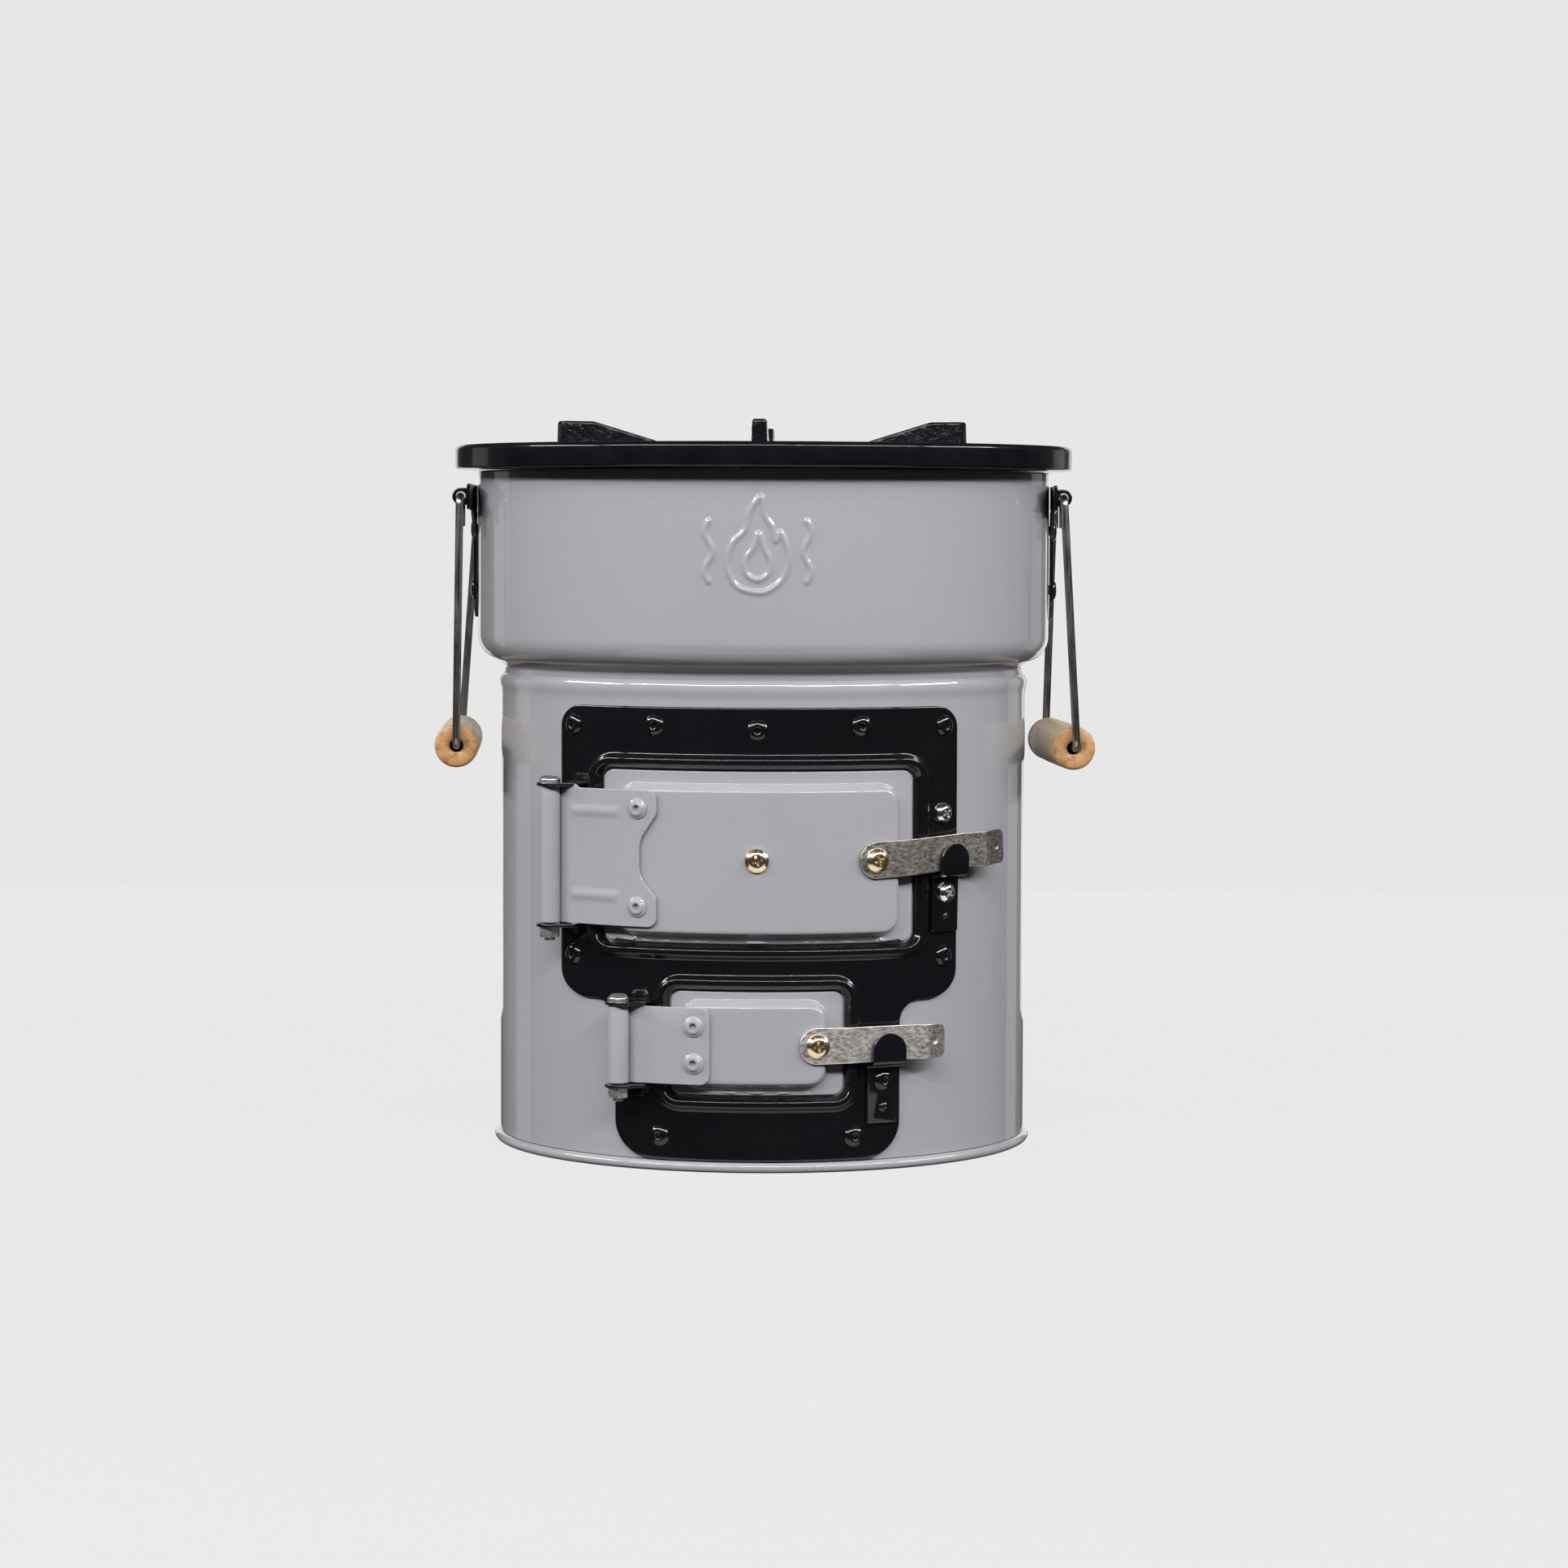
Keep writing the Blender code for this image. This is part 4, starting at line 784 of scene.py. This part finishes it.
def make_frame():
    wide, narrow, foot, top, shoulder = 0.0844, 0.0603, 0.005, 0.1955, 0.0715
    edge = outline((
        (-narrow, foot, 0.016), (narrow, foot, 0.016), (narrow, shoulder, 0.009), (wide, shoulder, 0.012),
        (wide, top, 0.009), (-wide, top, 0.009), (-wide, shoulder, 0.012), (-narrow, shoulder, 0.009),
    ), 10)
    rib = path((
        (0.0085, 0, 0), (0.0057, 0, 0.0014), (0.0042, 0.0027, 0.001), (0.0016, 0.0027, 0.0009),
        (0.0001, 0.0002, 0.0006), (0.0, -0.001, 0),
    ), 6)
    openings = []
    for opening in (FUEL_OPENING, ASH_OPENING):
        openings.append([(rounded_box(*grown(opening, m), OPENING_CORNER + m, 10), lift) for m, lift in rib])
    obj = object_of("frame_pressing", pressed(FRAME_RADIUS, edge_rings(edge, 0.0007), *openings))
    solidify(obj, FRAME_SHEET)
    fixed(obj, "black_enamel", ["door_frame"], sharp=50)


def make_door(door, opening, raised):
    """A pressed door: flat edge, then a raised middle with a soft shoulder."""
    edge = rounded_box(*grown(opening, -0.0009), OPENING_CORNER - 0.0009, 10)
    rings = edge_rings(edge, 0.0006)
    rise = ((0.0034, 0, 0), (0.0014, 0, 0.001), (-0.0008, DOOR_RISE, 0.0019), (-0.0048, DOOR_RISE, 0))
    for margin, lift in path(rise, 8):
        rings.append((rounded_box(*grown(raised, margin), 0.007 + margin, 10), lift))
    obj = object_of(f"{door}_door_pressing", pressed(FRAME_RADIUS, rings))
    solidify(obj, DOOR_SHEET)
    piece(obj, f"{door}_door", "grey_enamel", [f"{door}_door_panel"], sharp=50)


def make_liner():
    """The shield behind the fuel door."""
    edge = rounded_box(-0.048, 0.048, 0.107, 0.156, 0.003, 6)
    obj = object_of("fuel_door_shield", pressed(0.119, edge_rings(edge, 0.0003)))
    solidify(obj, DOOR_SHEET)
    piece(obj, "fuel_door", "chamber_steel", ["fuel_door_liner"], sharp=50)


# --- Fasteners ---


# Blind rivet heads as (radius, height): a dome with its broken mandrel, and a stepped one
DOMED = (
    (0, 0.0006), (0.0007, 0.00075), (0.001, 0.0004), (0.00115, 0.0004), (0.0012, 0.0013), (0.0014, 0.00155),
    (0.0022, 0.0016), (0.003, 0.0014), (0.0037, 0.00105), (0.0042, 0.0006), (0.0044, 0.0003),
)
STEPPED = (
    (0, -0.0018), (0.00125, -0.0018), (0.00135, 0.0011), (0.0016, 0.0015), (0.0024, 0.0016),
    (0.003, 0.00135), (0.0033, 0.0009), (0.0036, 0.00062), (0.0041, 0.00055),
)


def rivet(node, place, body="stove_body", slot="black_enamel", head=DOMED):
    foot = ((0.0045, 0.0001), (0.0045, 0), (SHANK, 0), (SHANK, -0.003), (0, -0.003))
    piece(object_of(f"{node}_head", lathe([*head, *foot], 48), place), body, slot, [node], sharp=50)


def cross_blades(place, reach, breadth, low, high, taper=1.0):
    """Two crossed cutters, narrowing towards their foot."""
    blades = []
    for quarter in (0, 1):
        blade = box((-reach, -breadth, low), (reach, breadth, high))
        for v in blade.verts:
            v.co.x *= taper if v.co.z < (low + high) / 2 else 1
        blades.append((blade, place @ spin(quarter * math.pi / 2)))
    return blades


def screw(name, node, place, turn, body="stove_body", slot="bright_steel", radius=NICKEL_HEAD, shank=0.004):
    """A pan head with a cross recess."""
    top = 0.0026
    head = path(((0, top, 0), (radius * 0.62, 0.0025, 0.0024), (radius, 0.0011, 0.001), (radius, 0, 0)), 8)
    place = place @ spin(turn)
    obj = object_of(name, lathe([*head, (SHANK, 0), (SHANK, -shank), (0, -shank)], 48), place)
    middle = lathe([(0, top), (0.00115, top), (0.0009, 0.0006), (0, 0.0002)], 16)
    carve(obj, [*cross_blades(place, 0.0026, 0.00055, 0.0004, 0.003, 0.3), (middle, place)])
    piece(obj, body, slot, [node], sharp=40)


def on_frame(x, height, lift=0.0):
    return facing(angle_at(x, FRAME_RADIUS), FRAME_RADIUS + lift, height)


def on_door(x, height, lift):
    radius = FRAME_RADIUS + DOOR_RISE
    return facing(angle_at(x, radius), radius + lift, height)


# Each rivet's place across and up the frame, and its turn in degrees
FRAME_RIVETS = {
    "top_left": (-0.0785, 0.187, 20), "top_mid_left": (-0.0434, 0.1876, 140),
    "top_centre": (0.0, 0.186, 250), "top_mid_right": (0.0434, 0.1876, 75), "top_right": (0.0785, 0.187, 310),
    "side_left": (-0.0785, 0.0893, 200), "side_right": (0.0785, 0.0893, 40),
    "bottom_left": (-0.0409, 0.015, 165), "bottom_right": (0.0409, 0.015, 90),
}
STRAP_RIVETS = {
    "fuel": {"upper": (-0.0497, 0.153), "lower": (-0.0497, 0.1117)},
    "ash": {"upper": (-0.026, 0.0623), "lower": (-0.026, 0.0468)},
}


def make_fasteners():
    for name, (x, z, turn) in FRAME_RIVETS.items():
        rivet(f"frame_rivet_{name}", on_frame(x, z, 0.0001) @ spin(math.radians(turn)))
    screw("frame_screw_head", "frame_screw_upper", on_frame(0.0779, 0.15, 0.0001), 0.5)
    for door, places in STRAP_RIVETS.items():
        for end, (x, z) in places.items():
            node = f"{door}_strap_rivet_{end}"
            rivet(node, on_door(x, z, 0.0016), f"{door}_door", "grey_enamel", STEPPED)
    place = on_door(0, 0.132, 0.0001)
    screw("fuel_door_centre_screw", "fuel_door_screw", place, 0.3, "fuel_door", *ZINC_SCREW, shank=0.006)


# --- Hinges ---


def strap_path(hinge, end):
    """From the knuckle's end, round the bolt and along the door, in the XZ plane as (x, -y)."""
    bolt = (HINGE_RADIUS * math.sin(hinge), HINGE_RADIUS * math.cos(hinge))
    out = 90 - math.degrees(hinge)
    points = arc(bolt, 0.0038, out - 130, out + 180, 32)
    flat = FRAME_RADIUS + DOOR_RISE + GAP + STRAP_SHEET / 2
    start = hinge + math.radians(0.9)
    for t in (k / 26 for k in range(27)):
        angle = start + (end - start) * t
        lift = 0.0005 * max(0, 1 - t * 7) + 0.0009 * math.exp(-(((t * 100 - 13) / 5) ** 2))
        points.append(((flat + lift) * math.sin(angle), (flat + lift) * math.cos(angle)))
    return points


def path_length(points):
    return sum((Vector(b) - Vector(a)).length for a, b in zip(points, points[1:]))


def make_strap(door, hinge, end, span, shape, ribs):
    """A strap rolled round the hinge bolt and laid over the door."""
    points = strap_path(hinge, angle_at(end, FRAME_RADIUS + DOOR_RISE))
    length = path_length(points)
    bm = plate(shape(length, *span), STRAP_SHEET, 0.00035)
    if ribs:
        cut_across(bm, steps_between(length - 0.045, length - 0.006, 0.0008))
        cut_across(bm, [r + o * 0.0007 for r, _, _ in ribs for o in range(-5, 6)], axis=1)
    for v in bm.verts:
        for height, start, stop in ribs:
            across = abs(v.co.y - height) / 0.0034
            inside = min(v.co.x - (length - start), (length - stop) - v.co.x) / 0.0022
            if across < 1 and inside > -1:
                v.co.z += 0.0006 * math.cos(math.pi / 2 * across) ** 2 * min(1, max(0, inside + 1))
    bend_along(bm, points)
    bm.transform(STANDING)
    face_out(bm)
    leaf = object_of(f"{door}_hinge_leaf", bm)
    piece(leaf, f"{door}_door", "grey_enamel", [f"{door}_hinge_strap"], sharp=40)


def fuel_strap_shape(length, low, high):
    neck = length - 0.0078
    return outline((
        (0, low, 0), (0.0293, low, 0.002), (0.0313, low - 0.0006, 0.002), (0.0338, low, 0.002),
        (length, low, 0.004), (length, low + 0.0125, 0.003), (neck, low + 0.0215, 0.011),
        (neck, high - 0.0215, 0.011), (length, high - 0.01, 0.003), (length, high, 0.004),
        (0.0338, high, 0.002), (0.0313, high + 0.0018, 0.0016), (0.0288, high, 0.0016), (0, high, 0),
    ), 8)


def ash_strap_shape(length, low, high):
    return outline(((0, low, 0), (length, low, 0.004), (length, high, 0.004), (0, high, 0)), 8)


def add_ears(back, ear, hole, rounding, places):
    carve(back, [(plate(ear, EAR_SHEET, rounding, [hole]), place) for place in places], "UNION")


def make_hinge_bracket(name, angle, low, high):
    """A plate on the frame, with an ear at each end of the knuckle."""
    bm = plate(rounded_box(-0.0034, 0.01, low + 0.0002, high + 0.0013, 0.0008, 3), 0.0011, 0.0003)
    back = object_of(f"{name}_bracket_plate", bm, facing(angle, FRAME_RADIUS + 0.0012))
    ear = outline((
        (-0.0055, -0.0096, 0), (0.011, -0.0096, 0.0), (0.011, -0.004, 0.002), (0.0055, 0.0055, 0.005),
        (-0.0055, 0.0055, 0.005),
    ), 8)
    turn = spin(angle) @ Matrix.Rotation(math.pi, 4, "X")
    places = [upright(angle, HINGE_RADIUS, height + EAR_SHEET / 2) @ turn for height in (low, high)]
    add_ears(back, ear, circle((0, 0), 0.00275), 0.00045, places)
    fixed(back, "black_enamel", [f"{name}_bracket"], sharp=40)


def make_hinge_bolt(name, axis, low, high):
    """A pan head above the upper ear and a threaded end below the lower one."""
    seat = high + EAR_SHEET
    foot = low - 0.0058
    corners = ((0, 0.0031, 0), (0.0031, 0.0029, 0.0016), (0.0045, 0.0014, 0.0008), (0.0045, 0, 0))
    head = path([(radius, seat + up, rounding) for radius, up, rounding in corners], 6)
    threads = []
    for z in (low - k * 0.0006 for k in range(10)):
        threads += [(0.0024, z), (0.0021, z - 0.0003)]
    profile = [*head, (0.0024, seat), *threads, (0.0018, foot), (0, foot)]
    bolt = object_of(f"{name}_pan_bolt", lathe(profile, 48), axis)
    carve(bolt, cross_blades(axis @ spin(0.4), 0.0023, 0.0005, seat + 0.0009, seat + 0.004))
    fixed(bolt, "bright_steel", [f"{name}_bolt"], sharp=40, finish=NUT_STEEL)


def make_hinge_nut(name, axis, top):
    """A hexagon with its corners turned off."""
    def turned(points, facets):
        return lathe([(radius, top - down) for radius, down in points], facets)

    nut = object_of(f"{name}_hex_nut", turned(((0, 0), (0.0046, 0), (0.0046, 0.004), (0, 0.004)), 6), axis)
    rounded = (
        (0, -0.0001), (0.0041, -0.0001), (0.0047, 0.0006), (0.0047, 0.0034), (0.0041, 0.0041), (0, 0.0041),
    )
    carve(nut, [(turned(rounded, 48), axis)], "INTERSECT")
    carve(nut, [(turned(((0, -0.001), (0.0026, -0.001), (0.0026, 0.006), (0, 0.006)), 32), axis)])
    fixed(nut, "bright_steel", [f"{name}_nut"], sharp=25, finish=NUT_STEEL)


def make_hinge(name, angle, span):
    low = span[0] - 0.0004 - EAR_SHEET
    high = span[1] + 0.0004
    axis = upright(angle, HINGE_RADIUS)
    make_hinge_bracket(name, angle, low, high)
    make_hinge_bolt(name, axis, low, high)
    make_hinge_nut(name, axis, low - 0.0003)


# --- Latches ---


def latch_bends(pivot, keeper, past_keeper):
    """The strap's middle line: flat on the door, then flat behind the tongue, then over a ridge."""
    turn = keeper - pivot
    behind = TONGUE_RADIUS - 2 * GAP - LATCH_SHEET / 2
    sine, cosine = math.sin(turn), math.cos(turn)
    ridge = behind + 0.0028
    marks = ((0.0115, behind), (0.0155, ridge), (0.018, ridge), (past_keeper, behind - 0.001))
    past = [(r * sine + s * cosine, r * cosine - s * sine) for s, r in marks]
    meets = behind * sine - (LATCH_PLANE - behind * cosine) / math.tan(turn)
    return [(-LATCH_WIDTH, LATCH_PLANE), (meets, LATCH_PLANE), *past]


def height_on(bends, distance):
    spans = list(zip(bends, bends[1:]))
    (x0, y0), (x1, y1) = next((span for span in spans if distance <= span[1][0]), spans[-1])
    return y0 + (y1 - y0) * (distance - x0) / (x1 - x0)


def softened(bends, distance):
    """The strap's height with its bends rounded."""
    reach = 0.001
    samples = [height_on(bends, distance + reach * k / 4) for k in range(-4, 5)]
    return sum(samples) / len(samples)


def make_latch(door, spec, finish):
    """A spring strap with a hole for its screw and a dimple near its tip."""
    pivot, height, keeper, past_keeper, tilt = spec
    bends = latch_bends(pivot, keeper, past_keeper)
    half = LATCH_WIDTH / 2
    end = bends[-1][0]
    shape = arc((0, 0), half, 90, 270, 24)
    shape += outline(((end, -half, 0.0032), (end, half, 0.0032), (0, half, 0)), 8)[:-1]
    bm = plate(shape, LATCH_SHEET, 0.00025, [circle((0, 0), 0.0026)])
    spot = (end - 0.0052, 0.0006)
    cut_across(bm, steps_between(-half, end, 0.0007))
    for axis in (1, 0):
        cut_across(bm, [spot[axis] + 0.0004 * k for k in range(-5, 6)], axis)
    for v in bm.verts:
        away = math.hypot(v.co.x - spot[0], v.co.y - spot[1])
        v.co.z += softened(bends, v.co.x) - 0.00055 * max(0, 1 - (away / 0.0017) ** 2)
    face_out(bm)
    obj = object_of(f"{door}_latch_strap", bm, facing(pivot, 0, height) @ spin(tilt))
    piece(obj, f"{door}_latch", "spring_steel", [f"{door}_latch_lever"], finish=finish)


def make_keeper(door, angle, heights, pip, pip_radius):
    """A strip bent out and up into a round-topped tongue, with a pressed pip near its foot."""
    foot, shelf, top = heights
    strip = FRAME_RADIUS + GAP + KEEPER_SHEET / 2
    tongue = TONGUE_RADIUS + KEEPER_SHEET / 2
    level = shelf + KEEPER_SHEET / 2
    points = path(((foot, strip, 0), (level, strip, 0.0015), (level, tongue, 0.0018), (top, tongue, 0)))
    half = KEEPER_WIDTH / 2
    end = path_length(points) - half
    shape = outline(((0, half, 0.0012), (0, -half, 0.0012), (end, -half, 0)), 4)[:-1]
    bm = plate(shape + arc((end, 0), half, -90, 90, 24), KEEPER_SHEET, 0.0004)
    bend_along(bm, points)
    # The strip's X is now the height, and its Z the distance from the body's axis.
    bm.transform(Matrix(((0, 1, 0, 0), (0, 0, -1, 0), (1, 0, 0, 0), (0, 0, 0, 1))))
    face_out(bm)
    obj = object_of(f"{door}_keeper_tongue", bm, spin(angle))
    pressing = (
        (0, 0.0006), (0.35, 0.0003), (0.5, 0.0007), (0.8, 0.00055), (1, 0.0001), (1, -0.0004), (0, -0.0004),
    )
    dome = lathe([(pip_radius * share, lift) for share, lift in pressing], 32)
    carve(obj, [(dome, facing(angle, strip + KEEPER_SHEET / 2, pip))], "UNION")
    fixed(obj, "black_enamel", [f"{door}_keeper"], sharp=45)


# --- Handles ---


def make_bracket(side, name):
    """A T-shaped plate with an ear at each end of its bar, and its two rivets."""
    low, high = 0.278, 0.289
    stem, tip, wide = 0.0085, 0.229, 0.0428
    points = outline((
        (-wide, low, 0.001), (-0.022, low - 0.001, 0.006), (-stem, low - 0.011, 0.006),
        (-stem, tip + 0.008, 0.01), (0, tip, 0.004), (stem, tip + 0.008, 0.01), (stem, low - 0.011, 0.006),
        (0.022, low - 0.001, 0.006), (wide, low, 0.001), (wide, high, 0.001), (-wide, high, 0.001),
    ), 6)
    outer = 0.1278
    middle = outer - EAR_SHEET / 2
    bm = plate(points, EAR_SHEET, 0.0004)
    obj = object_of(f"{name}_bracket_plate", bm, facing(side * math.pi / 2, middle))
    height = HANDLE_PIVOT[1]
    ear = [(middle, height - 0.0037), *arc(HANDLE_PIVOT, 0.0037, -90, 90, 16), (middle, height + 0.0037)]
    stand = spin((1 - side) * math.pi / 2) @ STANDING
    places = [Matrix.Translation((0, y, 0)) @ stand for y in (-0.04175, 0.04175)]
    add_ears(obj, ear, circle(HANDLE_PIVOT, 0.0021), 0.0004, places)
    fixed(obj, "black_enamel", [f"{name}_handle_bracket"], sharp=40)
    for end, z in (("upper", 0.2694), ("lower", 0.2433)):
        rivet(f"{name}_bracket_rivet_{end}", facing(side * math.pi / 2, outer + 0.0001, z))


def make_bail(side, name, shift, skew):
    """The wire handle, as a tube swept along a rounded path."""
    pivot, height = HANDLE_PIVOT
    out, low = GRIP_CENTRE
    leg, tail = 0.0475, 0.0385
    corners = []
    for end in (1, -1):
        half = [
            ((side * pivot, end * tail, height - 0.013), 0), ((side * pivot, end * tail, height), 0.003),
            ((side * pivot, end * leg, height), 0.0036),
            ((side * (out + shift - end * skew), end * leg, low), 0.0046),
        ]
        corners += half[::end]
    wire = object_of(f"{name}_bail_wire", tube(route(corners, 10), BAIL_WIRE / 2, 20))
    piece(wire, f"{name}_handle", "wire_steel", [f"{name}_bail"], sharp=60)


# Distance from the end and share of the radius, both for a bar's rounded ends
BAR_END = ((0.0, 0.55), (0.138, 0.9), (0.25, 1.0))


def tube(middle, radius, sides):
    """A round bar along a route, with rounded ends."""
    bm = bmesh.new()
    tangents = directions(middle)[1]
    rounded = {0: BAR_END, len(middle) - 1: [(-along, share) for along, share in reversed(BAR_END)]}
    up = tangents[0].orthogonal().normalized()
    turns = [2 * math.pi * s / sides for s in range(sides)]
    rows = []
    for k, (at, along) in enumerate(zip(middle, tangents)):
        up = (up - along * up.dot(along)).normalized()
        side = along.cross(up)
        for distance, share in rounded.get(k, ((0, 1.0),)):
            centre = at + along * distance * radius
            outs = [(up * math.cos(a) + side * math.sin(a)) * radius * share for a in turns]
            rows.append([bm.verts.new(centre + out) for out in outs])
    for a, b in zip(rows, rows[1:]):
        for s in range(sides):
            n = (s + 1) % sides
            bm.faces.new((a[s], b[s], b[n], a[n]))
    bm.faces.new(rows[0])
    bm.faces.new(list(reversed(rows[-1])))
    face_out(bm)
    return bm


def make_grip(side, name, shift, turn):
    """A turned grip with two fine grooves near each end."""
    half, radius, bore = GRIP_HALF, 0.0096, 0.003
    groove = []
    for at in (0.0385, 0.0363):
        groove += [(radius - 0.0001, at + 0.0005), (radius - 0.00035, at), (radius - 0.0001, at - 0.0005)]
    upper = [
        (bore, half - 0.0006), (bore + 0.0006, half), (radius - 0.0016, half),
        (radius - 0.0006, half - 0.0005), (radius - 0.0002, half - 0.0013), (radius - 0.0001, half - 0.0024),
        *groove, (radius, 0.02),
    ]
    profile = upper + [(r, -z) for r, z in reversed(upper)]
    out, low = GRIP_CENTRE
    place = Matrix.Translation((side * (out + shift), 0, low)) @ spin(turn) @ STANDING
    obj = object_of(f"{name}_wooden_grip", lathe(profile, 64, closed=True), place)
    piece(obj, f"{name}_handle_grip", "wood", [f"{name}_grip"], sharp=50)


# --- Assembly ---


def build_doors():
    make_door("fuel", FUEL_OPENING, FUEL_RAISED)
    make_door("ash", ASH_OPENING, ASH_RAISED)
    ribs = ((0.1513, 0.0405, 0.019), (0.1158, 0.0405, 0.019))
    make_strap("fuel", FUEL_HINGE, -0.0418, FUEL_STRAP, fuel_strap_shape, ribs)
    make_strap("ash", ASH_HINGE, -0.0194, ASH_STRAP, ash_strap_shape, ())
    make_liner()
    make_hinge("fuel_hinge", FUEL_HINGE, FUEL_STRAP)
    make_hinge("ash_hinge", ASH_HINGE, ASH_STRAP)


def build_latches():
    # The ash latch strap takes the paler steel, whose lighter colour is painted sheen
    for door, spec, turn, finish in (("fuel", FUEL_LATCH, 0.35, None), ("ash", ASH_LATCH, 0.15, SHEEN_PAINTED_STRAP)):
        make_latch(door, spec, finish)
        place = facing(spec[0], LATCH_PLANE + LATCH_SHEET / 2 + 0.0001, spec[1])
        screw(f"{door}_latch_pivot_screw", f"{door}_latch_screw", place, turn, f"{door}_door", *ZINC_SCREW)
    make_keeper("fuel", FUEL_LATCH[2], *FUEL_KEEPER)
    make_keeper("ash", ASH_LATCH[2], *ASH_KEEPER)
    lift = FRAME_RADIUS + GAP + KEEPER_SHEET + 0.0001
    screw("fuel_keeper_screw_head", "fuel_keeper_screw", facing(FUEL_LATCH[2], lift, 0.1163), 0.9)
    rivet("ash_keeper_rivet", facing(ASH_LATCH[2], lift, 0.0384))


def finish_cad_nodes():
    """Gives the hidden core's CAD nodes their materials."""
    slots = {"fuel_tunnel": "chamber_steel", "ash_tunnel": "chamber_steel", "insulation_fill": "mineral_wool"}
    for node, slot in slots.items():
        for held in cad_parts[node].material_slots:
            held.material = FINISHES[slot]


# --- Stage ---


def aimed(at, target):
    """A place that looks at a target."""
    return Matrix.Translation(at) @ (target - at).to_track_quat("-Z", "Y").to_matrix().to_4x4()


def area_light(name, angle, elevation, distance, size, power, diffuse=True):
    """A softbox aimed at the stove from an angle round it, out of the camera's sight."""
    data = bpy.data.lights.new(name, "AREA")
    data.shape = "RECTANGLE"
    data.size, data.size_y = size
    data.energy = power
    target = Vector((0, 0, 0.16))
    rise = math.radians(elevation)
    way = around(math.radians(angle), math.cos(rise), math.sin(rise))
    obj = linked(name, data, aimed(target + way * distance, target))
    obj.visible_camera = False
    obj.visible_diffuse = diffuse


def make_lights():
    """Wide thin softboxes high in front, weak cards beside the body and a low one under the doors."""
    far = 3.4
    for side in (-1, 1):
        area_light(f"key_{side}", side * 38, 32, far, (2.6, 0.21), 72)
        area_light(f"side_{side}", side * 82, 27, far, (1.9, 0.33), 56)
    area_light("front", 0, 34, far, (1.5, 0.2), 36)
    for angle in (-125, 140):
        area_light(f"edge_{angle}", angle, 0, 1.6, (0.4, 0.8), 0.4, diffuse=False)
    area_light("back", 180, 4, 1.3, (1.2, 0.7), 3)
    area_light("table", 0, -52, 0.62, (1.3, 0.55), 2.2, diffuse=False)
    world = bpy.data.worlds.new("studio")
    world.use_nodes = True
    background = world.node_tree.nodes["Background"]
    background.inputs["Color"].default_value = (1, 1, 1, 1)
    background.inputs["Strength"].default_value = 0.03
    bpy.context.scene.world = world


def make_sweep():
    """A glowing paper sweep that neither lights the stove nor shows in it."""
    rise = path(((-6.0, 0, 0), (3.5, 0, 2.2), (3.5, 6.0, 0)), 24)
    bm = bmesh.new()
    rows = [[bm.verts.new((x, y, z)) for x in (-8, 8)] for y, z in rise]
    for a, b in zip(rows, rows[1:]):
        bm.faces.new((a[0], a[1], b[1], b[0]))
    floor = object_of("studio_sweep", bm)
    floor.data.shade_smooth()
    f = Finish("studio_paper", Specular_IOR_Level=0.0, Emission_Color=(1, 1, 1, 1), Emission_Strength=0.775)
    tone = f.mix(f.patches(3, 4, 0.3, 0.7), (0.03, 0.03, 0.03), (0.028, 0.028, 0.028))
    floor.data.materials.append(f.shade(tone, f.patches(40, 3, 0, 1, 0.8, 0.9)))
    floor.visible_diffuse = False
    floor.visible_glossy = False


def make_camera():
    """In front and level, turned a little towards the right."""
    distance, height, azimuth, aside = 1.93, 0.2705, math.radians(1.1), 0.0094
    pitch, roll = math.radians(3.37), math.radians(0.2)
    data = bpy.data.cameras.new("camera")
    data.lens = 100
    data.sensor_width = 36
    data.clip_start = 0.05
    target = Vector((aside, 0, height - distance * math.tan(pitch)))
    place = aimed(around(azimuth, distance, height), target) @ spin(roll)
    bpy.context.scene.camera = linked("camera", data, place)


make_upper_shell()
make_lower_shell()
make_base_pan()
make_cast_ring()
for fin in range(6):
    make_fin(fin)
make_chamber()
make_grate()
make_tile_and_top_pan()
make_frame()
make_fasteners()
build_doors()
build_latches()
for side_of, side_name, foot_shift, wire_skew, grip_turn in HANDLES:
    make_bracket(side_of, side_name)
    make_bail(side_of, side_name, foot_shift, wire_skew)
    make_grip(side_of, side_name, foot_shift, grip_turn)
finish_cad_nodes()
make_sweep()
make_lights()
make_camera()
bpy.context.scene.view_settings.view_transform = "Standard"
